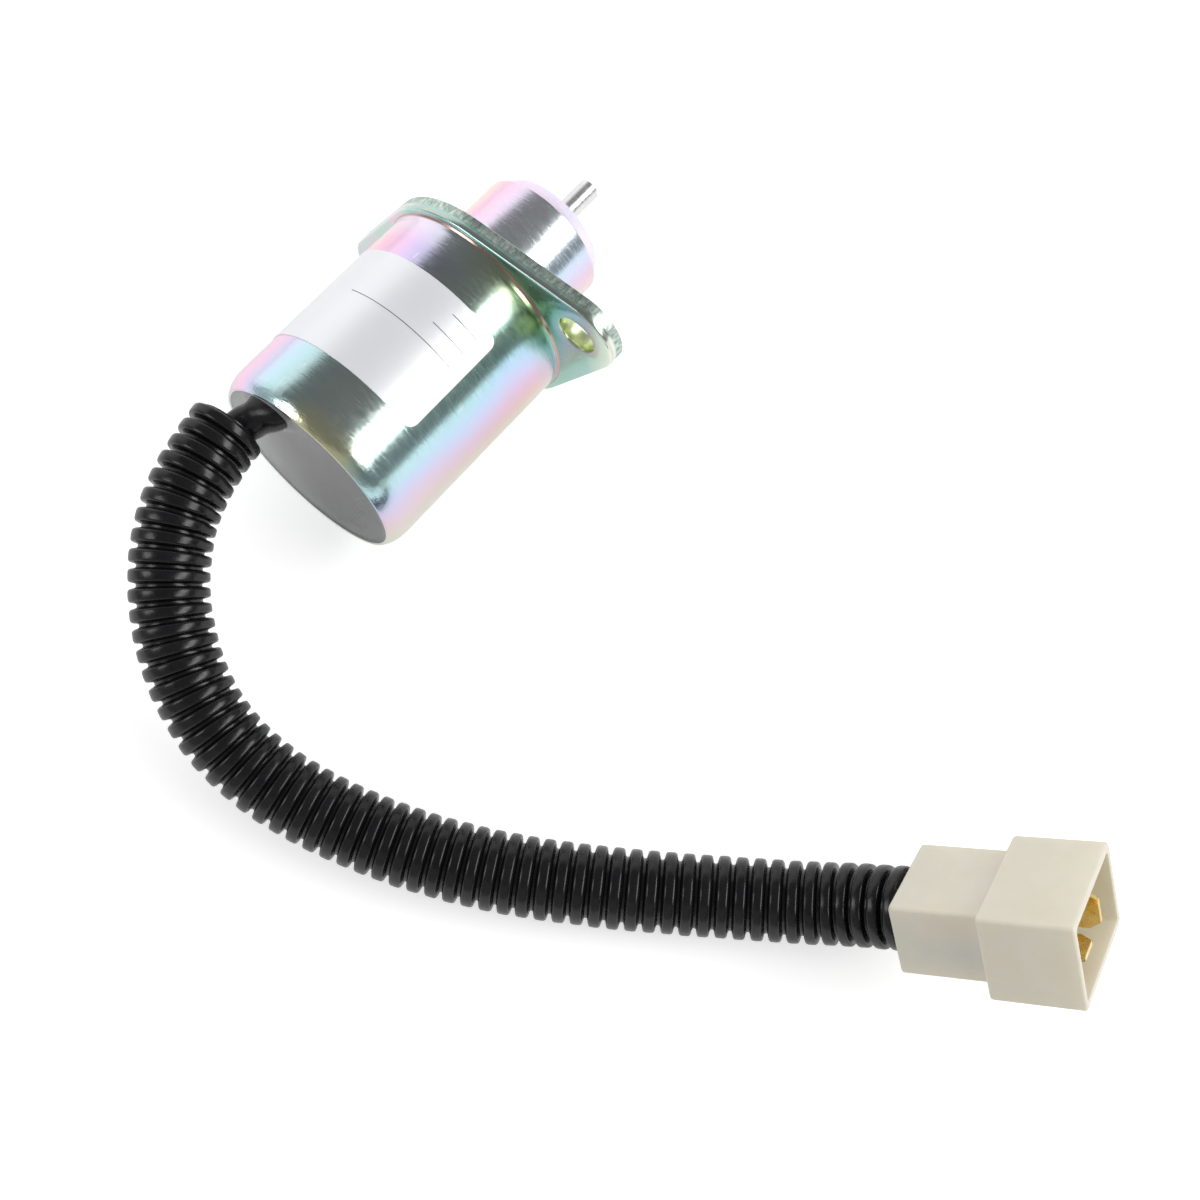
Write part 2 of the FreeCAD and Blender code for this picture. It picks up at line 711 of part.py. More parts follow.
def tab_terminal(label, offset, drop, quarter_turn):
    """Folded box with a flat tapered tab in front and a crimp barrel behind."""
    body = new_body(label)
    box_front = floor - size("tab_box_recess")
    box_back = box_front - size("tab_box_length")
    tip = mouth - size("tab_recess")
    half = size("tab_width") * 0.5
    outline = sketch_on(body, "XY_Plane", label + "_box_outline", box_back)
    polygon(outline, box_corners(size("tab_box_width"), size("tab_box_thick")))
    pad(body, outline, label + "_box", size("tab_box_length"))
    blade = sketch_on(body, "XZ_Plane", label + "_tab_outline")
    polygon(blade, [
        (-half, box_front - size("tab_root")),
        (half, box_front - size("tab_root")),
        (half, tip - size("tab_taper") * 1.5),
        (half - size("tab_taper"), tip),
        (-half + size("tab_taper"), tip),
        (-half, tip - size("tab_taper") * 1.5),
    ])
    sheet_metal = pad(body, blade, label + "_tab", size("tab_thick"))
    sheet_metal.SideType = "Symmetric"
    doc.recompute()
    barrel = sketch_on(body, "XY_Plane", label + "_barrel_outline", box_back - size("barrel_length"))
    circle(barrel, zero, zero, size("barrel_radius"))
    pad(body, barrel, label + "_barrel", size("barrel_length") + size("barrel_root"))
    crimp = sketch_on(body, "XY_Plane", label + "_crimp_outline", box_back)
    circle(crimp, zero, zero, size("lead_radius") + size("barrel_clearance"))
    pocket(body, crimp, label + "_crimp", size("barrel_length"))
    local = FreeCAD.Placement(FreeCAD.Vector(offset, drop, 0), FreeCAD.Rotation(axis_up, 90 * quarter_turn))
    body.Placement = frame.multiply(local)
    return box_back.value


cross_place = (named_sizes["cross_offset"], 0)
stem_place = (named_sizes["stem_offset"], named_sizes["stem_drop"])
barrel_end = tab_terminal("tab_cross", *cross_place, 1)
tab_terminal("tab_stem", *stem_place, 0)

# Leads from the bobbin, through sleeve and conduit, to the crimp barrels.
for label, sign, (slot, drop) in (("lead_upper", 1, stem_place), ("lead_lower", -1, cross_place)):
    rise = FreeCAD.Vector(0, 0, sign * named_sizes["lead_offset"])
    lead_route = [spot(bobbin_back.value, exit_y, exit_z) + rise]
    lead_route += [point + rise for point in sleeve_route[1:4]]
    lead_route += [point + rise for point in route[2:-2]]
    lead_route.append(frame.multVec(FreeCAD.Vector(slot * 0.3, drop * 0.3, -7.0 * unit)))
    lead_route.append(frame.multVec(FreeCAD.Vector(slot * 0.7, drop * 0.6, -0.5 * unit)))
    lead_route.append(frame.multVec(FreeCAD.Vector(slot, drop, 3.4 * unit)))
    lead_route.append(frame.multVec(FreeCAD.Vector(slot, drop, barrel_end - named_sizes["lead_end_gap"])))
    add_shape(label, swept(smooth_path(lead_route, label), named_sizes["lead_radius"]))

doc.recompute()
pieces = [item for item in doc.Objects if item.TypeId in ("PartDesign::Body", "Part::Feature")]
for item in doc.Objects:
    assert "Invalid" not in item.State and "Error" not in item.State, item.Name + " is not up to date"
for item in pieces:
    shape = item.Shape
    assert not shape.isNull() and shape.isValid(), item.Label + " has no valid shape"
    assert len(shape.Solids) == 1, item.Label + " is not one solid"
    shape.exportStep("parts/%s.step" % item.Label)
    box = shape.BoundBox
    print(item.Label, "volume", round(shape.Volume, 1), "x", round(box.XMin, 2), round(box.XMax, 2),
          "y", round(box.YMin, 2), round(box.YMax, 2), "z", round(box.ZMin, 2), round(box.ZMax, 2))
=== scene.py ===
import math

import bmesh
import bpy
from mathutils import Matrix, Vector, noise


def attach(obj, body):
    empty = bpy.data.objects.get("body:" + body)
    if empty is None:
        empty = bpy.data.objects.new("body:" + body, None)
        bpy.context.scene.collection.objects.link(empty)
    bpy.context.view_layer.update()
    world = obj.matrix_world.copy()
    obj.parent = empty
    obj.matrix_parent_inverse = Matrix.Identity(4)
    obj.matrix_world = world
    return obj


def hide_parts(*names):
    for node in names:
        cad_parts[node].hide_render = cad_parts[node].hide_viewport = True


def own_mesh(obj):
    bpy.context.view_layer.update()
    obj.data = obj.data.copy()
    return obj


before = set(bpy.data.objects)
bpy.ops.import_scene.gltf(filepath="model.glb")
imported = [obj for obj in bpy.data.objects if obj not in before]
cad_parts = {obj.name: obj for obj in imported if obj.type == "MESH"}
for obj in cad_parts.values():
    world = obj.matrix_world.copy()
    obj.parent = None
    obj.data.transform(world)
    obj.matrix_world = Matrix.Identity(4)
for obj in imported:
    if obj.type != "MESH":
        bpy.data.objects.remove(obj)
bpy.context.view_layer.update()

mm = 0.001
scene = bpy.context.scene
print("frame loaded", len(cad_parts), "nodes")

# camera, at the photograph's viewing angle
cameraView = {
    "place": (-0.113162, -0.119108, 0.250488),
    "right": (0.63849, -0.76963, 0.00093),
    "up": (0.70996, 0.58946, 0.38535),
    "lens": 50.58,
    "sensor": 36.0,
    "clip": (0.01, 40),
}


def placeCamera(view):
    data = bpy.data.cameras.new("camera")
    data.lens = view["lens"]
    data.sensor_width = view["sensor"]
    data.clip_start, data.clip_end = view["clip"]
    holder = bpy.data.objects.new("camera", data)
    scene.collection.objects.link(holder)
    right, up = Vector(view["right"]).normalized(), Vector(view["up"]).normalized()
    turn = Matrix((right, up, right.cross(up))).transposed().to_4x4()
    turn.translation = Vector(view["place"])
    holder.matrix_world = turn
    scene.camera = holder


placeCamera(cameraView)


# mesh helpers, all in millimetres in the part's frame
def linkPiece(name, mesh, body, sharpAngle):
    mesh.polygons.foreach_set("use_smooth", [True] * len(mesh.polygons))
    mesh.set_sharp_from_angle(angle=math.radians(sharpAngle))
    mesh.update()
    piece = bpy.data.objects.new(name, mesh)
    scene.collection.objects.link(piece)
    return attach(piece, body)


def makePiece(name, points, faces, body="case", sharpAngle=32):
    mesh = bpy.data.meshes.new(name)
    mesh.from_pydata([Vector(p) * mm for p in points], [], faces)
    mesh.validate()
    return linkPiece(name, mesh, body, sharpAngle)


def dress(piece, material):
    piece.data.materials.clear()
    piece.data.materials.append(material)
    return piece


def bridge(faces, first, second, count):
    # quads between two closed rings of points, given by the number of their first point
    for i in range(count):
        j = (i + 1) % count
        faces.append((first + i, first + j, second + j, second + i))


def loftWall(mesh, rings, flip=False):
    # the same on vertices in bmesh, through any number of rings
    for first, second in zip(rings, rings[1:]):
        for i in range(len(first)):
            j = (i + 1) % len(first)
            quad = (first[i], first[j], second[j], second[i])
            mesh.faces.new(quad[::-1] if flip else quad)


def flatLid(mesh, loops):
    # a flat face inside the first loop, with the other loops as its holes
    edges = []
    for loop in loops:
        for i in range(len(loop)):
            pair = (loop[i], loop[(i + 1) % len(loop)])
            edges.append(mesh.edges.get(pair) or mesh.edges.new(pair))
    bmesh.ops.triangle_fill(mesh, use_beauty=True, use_dissolve=False, edges=edges)


def fromBmesh(name, mesh, sharpAngle):
    bmesh.ops.recalc_face_normals(mesh, faces=mesh.faces)
    data = bpy.data.meshes.new(name)
    mesh.to_mesh(data)
    mesh.free()
    return linkPiece(name, data, "case", sharpAngle)


def fullTurn(steps):
    return [2 * math.pi * k / steps for k in range(steps)]


def quarterTurn(steps):
    return [math.pi / 2 * k / steps for k in range(steps + 1)]


def polar(along, radius, turn):
    return along, radius * math.cos(turn), radius * math.sin(turn)


# an arc's longest step in degrees and in millimetres, and how much of a short side it may take
arcDetail = {"degrees": 15, "step": 0.4, "share": 0.98}


def roundCorners(corners):
    # corners are (along, radius, rounding); returns the same outline with short arcs
    out = []
    count = len(corners)
    for i, (a, b, rounding) in enumerate(corners):
        here = Vector((a, b))
        if rounding <= 0:
            out.append(here)
            continue
        before = Vector(corners[i - 1][:2]) - here
        after = Vector(corners[(i + 1) % count][:2]) - here
        half = before.angle(after) / 2
        # neighbouring roundings share the side between them
        room = min(before.length * rounding / (rounding + corners[i - 1][2]),
                   after.length * rounding / (rounding + corners[(i + 1) % count][2]))
        trim = min(rounding / math.tan(half), room * arcDetail["share"])
        radius = trim * math.tan(half)
        start = here + before.normalized() * trim
        end = here + after.normalized() * trim
        inward = (before.normalized() + after.normalized()).normalized()
        centre = here + inward * radius / math.sin(half)
        sweep = (start - centre).angle_signed(end - centre)
        steps = max(2, math.ceil(abs(sweep) / math.radians(arcDetail["degrees"])),
                    math.ceil(abs(sweep) * radius / arcDetail["step"]))
        for k in range(steps + 1):
            turned = start - centre
            turned.rotate(Matrix.Rotation(-sweep * k / steps, 2))
            out.append(centre + turned)
    return out


def spin(name, corners, around, body="case", wobble=None):
    # a closed outline turned about the X axis; outlines that touch the axis close on it
    outline = roundCorners(corners)
    points, faces, rows = [], [], []
    for along, radius in outline:
        if radius < 1e-6:
            rows.append((len(points), 1))
            points.append((along, 0, 0))
            continue
        rows.append((len(points), around))
        for turn in fullTurn(around):
            points.append(polar(along, radius + (wobble(along, radius, turn) if wobble else 0), turn))
    for index in range(len(rows)):
        (first, countA), (second, countB) = rows[index], rows[(index + 1) % len(rows)]
        if countA == 1 and countB == 1:
            continue
        if countA == 1 or countB == 1:
            pole, ring = (first, second) if countA == 1 else (second, first)
            for k in range(around):
                n = (k + 1) % around
                faces.append((pole, ring + n, ring + k) if countA == 1 else (pole, ring + k, ring + n))
        else:
            bridge(faces, second, first, around)
    return makePiece(name, points, faces, body)


# the routes of the cords, in millimetres
conduitRoute = [
    (-50.5, 10.0, 10.7), (-59.0, 9.0, 10.2), (-69.8, 5.2, 7.7), (-80.0, -3.0, 2.4), (-86.7, -14.7, -3.6),
    (-88.1, -28.1, -9.0), (-83.8, -46.0, -12.6), (-75.9, -64.4, -13.8), (-65.0, -82.0, -13.8),
    (-54.6, -96.8, -13.5), (-47.3, -107.6, -11.8), (-42.55, -114.7, -9.1), (-39.75, -120.25, -5.7),
]
sleeveRoute = [
    (-45.4, 6.4, 12.3), (-46.4, 6.4, 12.3), (-51.0, 8.9, 10.9), (-57.8, 8.4, 10.2), (-63.4, 7.0, 9.1),
]


def centreLine(name, route):
    # the smooth line of a route: its points read back from a spline with no bevel
    curve = bpy.data.curves.new(name, "CURVE")
    curve.dimensions = "3D"
    curve.resolution_u = 16
    spline = curve.splines.new("NURBS")
    spline.points.add(len(route) - 1)
    for knot, place in zip(spline.points, route):
        knot.co = (*(Vector(place) * mm), 1)
    spline.order_u = 3
    spline.use_endpoint_u = True
    holder = bpy.data.objects.new(name, curve)
    scene.collection.objects.link(holder)
    graph = bpy.context.evaluated_depsgraph_get()
    mesh = bpy.data.meshes.new_from_object(holder.evaluated_get(graph))
    line = [v.co / mm for v in mesh.vertices]
    bpy.data.meshes.remove(mesh)
    bpy.data.objects.remove(holder)
    return line


class Line:
    # a polyline with a place and a steady frame at any distance along it
    def __init__(self, points):
        self.points = points
        self.reach = [0.0]
        for a, b in zip(points, points[1:]):
            self.reach.append(self.reach[-1] + (b - a).length)
        self.length = self.reach[-1]
        self.sides = []
        side = Vector((0, 0, 1))
        for i in range(len(points)):
            ahead = self.heading(i)
            side = (side - ahead * side.dot(ahead)).normalized()
            self.sides.append(side.copy())

    def heading(self, i):
        a = self.points[max(i - 1, 0)]
        b = self.points[min(i + 1, len(self.points) - 1)]
        return (b - a).normalized()

    def at(self, distance):
        distance = min(max(distance, 0), self.length)
        i = 0
        while i < len(self.reach) - 2 and self.reach[i + 1] < distance:
            i += 1
        share = (distance - self.reach[i]) / (self.reach[i + 1] - self.reach[i])
        place = self.points[i].lerp(self.points[i + 1], share)
        ahead = self.heading(i).lerp(self.heading(i + 1), share).normalized()
        side = self.sides[i].lerp(self.sides[i + 1], share)
        side = (side - ahead * side.dot(ahead)).normalized()
        return place, ahead, side


def tube(name, line, sections, around, offset=None, capped=False):
    # sections are (distance, radius) rings joined in order, as one loop or with a cap at both ends
    points, faces = [], []
    for distance, radius in sections:
        place, ahead, side = line.at(distance)
        across = ahead.cross(side)
        for turn in fullTurn(around):
            r = radius + (offset(distance, turn, radius) if offset else 0)
            points.append(place + (side * math.cos(turn) + across * math.sin(turn)) * r)
    for i in range(len(sections) - 1 if capped else len(sections)):
        bridge(faces, i * around, ((i + 1) % len(sections)) * around, around)
    if capped:
        faces.append(tuple(range(around))[::-1])
        faces.append(tuple(range(len(points) - around, len(points))))
    return makePiece(name, points, faces)


# corrugated conduit
conduitShape = {
    "rings": 60,
    "around": 40,
    "bore": 4.75,
    "uneven": 0.07,
    # share of one pitch, outside radius
    "ring": [
        (0.00, 5.20), (0.07, 5.23), (0.115, 5.45), (0.15, 5.95), (0.19, 6.27), (0.25, 6.43), (0.33, 6.49),
        (0.50, 6.50), (0.67, 6.49), (0.75, 6.43), (0.81, 6.27), (0.85, 5.95), (0.885, 5.45), (0.93, 5.23),
    ],
}


def makeConduit(shape, line):
    rings = shape["rings"]
    pitch = line.length / rings
    outside = [((number + share) * pitch, radius) for number in range(rings) for share, radius in shape["ring"]]
    outside.append((line.length, shape["ring"][0][1]))
    inside = [(line.length * (1 - k / rings), shape["bore"]) for k in range(rings + 1)]

    def uneven(distance, turn, radius):
        # moulding marks on the outside only, never outward
        if radius <= shape["bore"]:
            return 0
        spot = Vector((distance * 0.35, math.cos(turn) * 1.3, math.sin(turn) * 1.3))
        return min(0.0, (noise.noise(spot) - 0.5) * shape["uneven"])

    return tube("loom_conduit", line, outside + inside, shape["around"], offset=uneven)


conduitLine = Line(centreLine("conduitLine", conduitRoute))
conduit = makeConduit(conduitShape, conduitLine)
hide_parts("conduit")
print("conduit made, length", round(conduitLine.length, 1))


# node maths
class Wire:
    # one output in a material, with arithmetic on it
    def __init__(self, shade, output):
        self.shade = shade
        self.output = output

    def maths(self, operation, a, b):
        return self.shade.node("ShaderNodeMath", {"operation": operation}, {0: a, 1: b})

    def __add__(self, other):
        return self.maths("ADD", self, other)

    def __radd__(self, other):
        return self.maths("ADD", other, self)

    def __sub__(self, other):
        return self.maths("SUBTRACT", self, other)

    def __rsub__(self, other):
        return self.maths("SUBTRACT", other, self)

    def __mul__(self, other):
        return self.maths("MULTIPLY", self, other)

    def __rmul__(self, other):
        return self.maths("MULTIPLY", other, self)

    def __truediv__(self, other):
        return self.maths("DIVIDE", self, other)

    def __mod__(self, other):
        return self.maths("FLOORED_MODULO", self, other)


class Shade:
    # a material, or the world, whose nodes are made through one method
    def __init__(self, holder, **constants):
        self.holder = holder
        holder.use_nodes = True
        self.tree = holder.node_tree
        self.tree.nodes.clear()
        isWorld = isinstance(holder, bpy.types.World)
        output = self.tree.nodes.new("ShaderNodeOutputWorld" if isWorld else "ShaderNodeOutputMaterial")
        self.surface = self.tree.nodes.new("ShaderNodeBackground" if isWorld else "ShaderNodeBsdfPrincipled")
        self.tree.links.new(self.surface.outputs[0], output.inputs["Surface"])
        for name, value in constants.items():
            self.surface.inputs[name.replace("_", " ")].default_value = value

    def feed(self, socket, value):
        if isinstance(value, Wire):
            self.tree.links.new(value.output, socket)
        else:
            socket.default_value = value

    def node(self, kind, settings=None, sockets=None, out=0):
        made = self.tree.nodes.new(kind)
        for name, value in (settings or {}).items():
            if name == "stops":
                self.setStops(made.color_ramp, value)
            else:
                setattr(made, name, value)
        for name, value in (sockets or {}).items():
            self.feed(made.inputs[name], value)
        if isinstance(out, tuple):
            return [Wire(self, made.outputs[key]) for key in out]
        return Wire(self, made.outputs[out])

    def setStops(self, ramp, stops):
        while len(ramp.elements) < len(stops):
            ramp.elements.new(1.0)
        for element, (place, colour) in zip(ramp.elements, sorted(stops, key=lambda stop: stop[0])):
            element.position = place
            element.color = colour if len(colour) == 4 else (*colour, 1)

    def put(self, name, value):
        self.feed(self.surface.inputs[name], value)

    def place(self):
        return self.node("ShaderNodeTexCoord", out="Object")

    def stretched(self, scale):
        return self.node("ShaderNodeMapping", None, {"Vector": self.place(), "Scale": scale})

    def parts(self, vector):
        return self.node("ShaderNodeSeparateXYZ", None, {0: vector}, out=(0, 1, 2))

    def speckle(self, scale, detail, roughness, vector=None):
        return self.node("ShaderNodeTexNoise", None, {
            "Vector": vector or self.place(), "Scale": scale, "Detail": detail, "Roughness": roughness})

    def span(self, value, fromLow, fromHigh, toLow=0.0, toHigh=1.0):
        return self.node("ShaderNodeMapRange", {"clamp": True}, {
            "Value": value, "From Min": fromLow, "From Max": fromHigh, "To Min": toLow, "To Max": toHigh})

    def band(self, value, rise, fall):
        # 1 between two places, each with a soft edge from one number to the next
        return self.span(value, *rise) * (1 - self.span(value, *fall))

    def ramp(self, value, stops, interpolation="LINEAR"):
        made = self.node("ShaderNodeValToRGB", {"stops": stops}, {"Fac": value})
        made.output.node.color_ramp.interpolation = interpolation
        return made

    def blend(self, factor, a, b):
        # sockets 6 and 7 are the node's colours, output 2 its colour result
        return self.node("ShaderNodeMix", {"data_type": "RGBA"}, {"Factor": factor, 6: a, 7: b}, out=2)

    def bump(self, height, distance, strength, under=None):
        sockets = {"Height": height, "Distance": distance, "Strength": strength}
        if under:
            sockets["Normal"] = under
        return self.node("ShaderNodeBump", None, sockets)


def newShade(name, **constants):
    return Shade(bpy.data.materials.new(name), **constants)


# plated steel: zinc with a passivated skin whose tint runs round the axis
def aroundAxis(shade):
    # 0 to 1 round the X axis, from straight down, through +Y, up and -Y
    x, y, z = shade.parts(shade.place())
    turn = shade.node("ShaderNodeMath", {"operation": "ARCTAN2"}, {0: z, 1: y})
    return x, (turn / (2 * math.pi) + 0.25) % 1.0


def fromAngle(degrees):
    return ((degrees + 90) / 360) % 1.0


platedTints = {
    # degrees round the axis, colour
    "rear": [
        (-60, (0.52, 0.60, 0.58)), (22, (0.74, 0.86, 0.84)), (34, (0.92, 0.66, 0.80)),
        (44, (0.98, 0.58, 0.76)), (54, (0.80, 0.68, 0.92)), (63, (0.60, 0.78, 0.92)),
        (72, (0.52, 0.78, 0.80)), (90, (0.50, 0.58, 0.56)), (112, (0.66, 0.72, 0.66)),
        (134, (0.56, 0.76, 0.74)), (148, (0.52, 0.80, 0.82)), (156, (0.56, 0.72, 0.90)),
        (163, (0.70, 0.64, 0.86)), (173, (0.82, 0.64, 0.72)), (186, (0.80, 0.74, 0.66)),
        (203, (0.72, 0.76, 0.60)), (245, (0.54, 0.66, 0.60)),
    ],
    "front": [
        (-60, (0.60, 0.56, 0.62)), (24, (0.98, 0.80, 0.66)), (36, (0.98, 0.62, 0.66)),
        (50, (0.97, 0.58, 0.72)), (62, (0.86, 0.60, 0.88)), (74, (0.62, 0.58, 0.88)),
        (88, (0.46, 0.50, 0.56)), (108, (0.52, 0.60, 0.52)), (130, (0.46, 0.66, 0.54)),
        (144, (0.42, 0.68, 0.60)), (151, (0.46, 0.72, 0.88)), (158, (0.60, 0.68, 0.92)),
        (166, (0.76, 0.58, 0.80)), (176, (0.84, 0.56, 0.62)), (190, (0.82, 0.66, 0.54)),
        (206, (0.72, 0.74, 0.56)), (240, (0.54, 0.66, 0.58)),
    ],
    "corner": [
        (-60, (0.46, 0.62, 0.50)), (40, (0.94, 0.74, 0.86)), (66, (0.88, 0.76, 0.94)),
        (84, (0.60, 0.66, 0.76)), (104, (0.46, 0.54, 0.42)), (128, (0.40, 0.50, 0.26)),
        (146, (0.30, 0.52, 0.28)), (157, (0.34, 0.66, 0.56)), (168, (0.56, 0.64, 0.74)),
        (182, (0.74, 0.56, 0.68)), (200, (0.82, 0.70, 0.58)), (240, (0.50, 0.62, 0.48)),
    ],
}


def tintRamp(shade, turn, tints):
    return shade.ramp(turn, [(fromAngle(angle), colour) for angle, colour in tints], "B_SPLINE")


def drawnGrain(shade):
    # short strokes round the axis, close together along it
    return shade.speckle(3500, 3.0, 0.6, shade.stretched((1, 0.13, 0.13)))


canMarks = {
    # from and to, in metres along the axis or degrees round it
    "rearToFront": (-0.036, -0.012),
    "toCorner": (-0.0092, -0.0048),
    "joint": (-0.0037, -0.0034),
    "jointColour": (0.56, 0.36, 0.30, 1),
    "rim": (-0.0445, -0.0405),
    "goldStart": (84, 98),
    "goldEnd": (122, 136),
    "gold": (0.84, 0.82, 0.44, 1),
    "scratch": (0.86, 0.88, 0.88, 1),
}


def platedCanSkin(tints, marks):
    shade = newShade("plated can", Metallic=1.0)
    x, turn = aroundAxis(shade)
    sway = shade.speckle(55, 2.0, 0.45) - 0.5
    turn = turn + sway * 0.05
    rear, front, corner = [tintRamp(shade, turn, tints[part]) for part in ("rear", "front", "corner")]
    skin = shade.blend(shade.span(x + sway * 0.012, *marks["rearToFront"]), rear, front)
    skin = shade.blend(shade.span(x + sway * 0.004, *marks["toCorner"]), skin, corner)
    grain = drawnGrain(shade)
    scratches = shade.span(shade.speckle(900, 2.0, 0.5, shade.stretched((0.25, 1, 1))), 0.70, 0.76)
    rim = 1 - shade.span(x, *marks["rim"])
    gold = rim * shade.band(turn, map(fromAngle, marks["goldStart"]), map(fromAngle, marks["goldEnd"]))
    skin = shade.blend(gold * 0.75, skin, marks["gold"])
    skin = shade.blend(shade.span(x, *marks["joint"]), skin, marks["jointColour"])
    shade.put("Base Color", shade.blend(scratches * 0.35, skin, marks["scratch"]))
    shade.put("Roughness", shade.span(grain, 0.3, 0.7, 0.13, 0.25))
    wavy = shade.bump(shade.speckle(260, 2.0, 0.5), 0.00003, 0.3)
    hammered = shade.bump(shade.speckle(1100, 3.0, 0.6) * rim, 0.00005, 0.8, wavy)
    shade.put("Normal", shade.bump(grain, 0.00003, 0.9, hammered))
    return shade.holder


platedCan = platedCanSkin(platedTints, canMarks)

flangeTints = {
    "face": [(0.30, (0.40, 0.62, 0.56)), (0.46, (0.44, 0.66, 0.62)), (0.60, (0.54, 0.70, 0.62)),
             (0.74, (0.70, 0.74, 0.52))],
    "farLobe": [(0.34, (0.48, 0.76, 0.64)), (0.5, (0.66, 0.86, 0.78)), (0.68, (0.92, 0.76, 0.86))],
    "nearLobe": (0.84, 0.92, 0.80, 1),
    "torn": [(0.34, (0.27, 0.38, 0.34)), (0.5, (0.50, 0.61, 0.55)), (0.64, (0.78, 0.86, 0.77))],
    "copper": (0.74, 0.50, 0.44, 1),
    "bore": (0.84, 0.90, 0.56, 1),
}
flangeMarks = {
    # from and to, in metres
    "farLobe": (0.006, 0.018),
    "nearLobe": (-0.0255, -0.030),
    "torn": ((-0.0019, -0.0015), (-0.00012, -0.00002)),
    "roll": ((-0.0029, -0.00262), (-0.0026, -0.0023)),
    "holeCentre": (0.02309, -0.01301),
    "holeEdge": (0.00368, 0.00376),
}


def platedFlange(tints, marks):
    # teal faces, pink and pale on the far lobe; a torn band in front on the cut edge, a copper line behind
    shade = newShade("plated flange", Metallic=1.0)
    place = shade.place()
    x, y = shade.parts(place)[:2]
    cloud = shade.speckle(75, 3.0, 0.5)
    face = shade.ramp(cloud, tints["face"])
    farLobe = shade.ramp(cloud, tints["farLobe"])
    face = shade.blend(shade.span(y + (cloud - 0.5) * 0.01, *marks["farLobe"]), face, farLobe)
    face = shade.blend(shade.span(y + (cloud - 0.5) * 0.006, *marks["nearLobe"]), face, tints["nearLobe"])
    torn = shade.band(x, *marks["torn"])
    roll = shade.band(x, *marks["roll"])
    streak = shade.speckle(1500, 4.0, 0.7, shade.stretched((0.5, 1, 1)))
    skin = shade.blend(torn, face, shade.ramp(streak, tints["torn"]))
    skin = shade.blend(roll * 0.7, skin, tints["copper"])
    inPlane = shade.node("ShaderNodeVectorMath", {"operation": "MULTIPLY"}, {0: place, 1: (0, 1, 1)})
    holeY, holeZ = marks["holeCentre"]
    outside = [shade.span(shade.node("ShaderNodeVectorMath", {"operation": "DISTANCE"}, {
        0: inPlane, 1: (0, side * holeY, side * holeZ)}, out="Value"), *marks["holeEdge"]) for side in (1, -1)]
    bore = 1 - outside[0] * outside[1]
    shade.put("Base Color", shade.blend(bore * 0.85, skin, tints["bore"]))
    fine = shade.speckle(1500, 4.0, 0.6)
    shade.put("Roughness", shade.span(fine, 0.3, 0.7, 0.18, 0.28) + torn * 0.16)
    shade.put("Normal", shade.bump(streak * torn * 1.2 + fine * 0.4, 0.00004, 0.6))
    return shade.holder


flangeSteel = platedFlange(flangeTints, flangeMarks)

noseTints = {
    # degrees round the axis, colour
    "side": [
        (-60, (0.62, 0.56, 0.60)), (26, (0.98, 0.90, 0.56)), (42, (0.98, 0.72, 0.74)), (56, (0.97, 0.62, 0.80)),
        (70, (0.92, 0.72, 0.90)), (82, (0.80, 0.76, 0.92)), (98, (0.86, 0.92, 0.92)), (128, (0.88, 0.95, 0.96)),
        (146, (0.66, 0.82, 0.94)), (157, (0.68, 0.74, 0.95)), (166, (0.82, 0.70, 0.90)), (177, (0.92, 0.68, 0.76)),
        (190, (0.90, 0.74, 0.72)), (230, (0.60, 0.64, 0.60)),
    ],
    "bevel": [(0.3, (0.93, 0.74, 0.90)), (0.5, (0.84, 0.80, 0.97)), (0.7, (0.95, 0.88, 0.94))],
    "bevelStart": (0.0140, 0.0146),
}


def platedNose(tints):
    shade = newShade("plated nose", Metallic=1.0)
    x, turn = aroundAxis(shade)
    cloud = shade.speckle(90, 3.0, 0.5)
    side = tintRamp(shade, turn + (cloud - 0.5) * 0.04, tints["side"])
    bevel = shade.ramp(cloud, tints["bevel"])
    shade.put("Base Color", shade.blend(shade.span(x, *tints["bevelStart"]), side, bevel))
    grain = drawnGrain(shade)
    shade.put("Roughness", shade.span(grain, 0.3, 0.7, 0.17, 0.29))
    shade.put("Normal", shade.bump(grain, 0.00003, 0.9))
    return shade.holder


noseSteel = platedNose(noseTints)


def groundSteel(name, colour, roughness, ringScale):
    shade = newShade(name, Metallic=1.0)
    rings = shade.speckle(1, 2.0, 0.5, shade.stretched((ringScale, 150, 150)))
    cloud = shade.speckle(300, 3.0, 0.5)
    darker = tuple(c * 0.78 for c in colour)
    shade.put("Base Color", shade.blend(cloud, (*darker, 1), (*colour, 1)))
    shade.put("Roughness", shade.span(rings, 0.3, 0.7, roughness * 0.8, roughness * 1.25))
    shade.put("Normal", shade.bump(rings, 0.00001, 0.5))
    return shade.holder


pinSteel = groundSteel("ground pin", (0.93, 0.93, 0.94), 0.30, 6000)
innerSteel = groundSteel("machined core", (0.56, 0.56, 0.58), 0.34, 3000)
springWire = groundSteel("spring wire", (0.46, 0.46, 0.48), 0.3, 1500)

brassTints = [(0.3, (0.80, 0.52, 0.12)), (0.5, (0.92, 0.68, 0.24)), (0.72, (0.98, 0.82, 0.42))]


def brassSheet(tints):
    shade = newShade("tab brass", Metallic=1.0)
    shade.put("Base Color", shade.ramp(shade.speckle(350, 4.0, 0.6), tints))
    fine = shade.speckle(1800, 3.0, 0.5, shade.stretched((1, 1, 0.3)))
    shade.put("Roughness", shade.span(fine, 0.3, 0.7, 0.2, 0.36))
    shade.put("Normal", shade.bump(fine, 0.00001, 0.4))
    return shade.holder


brass = brassSheet(brassTints)


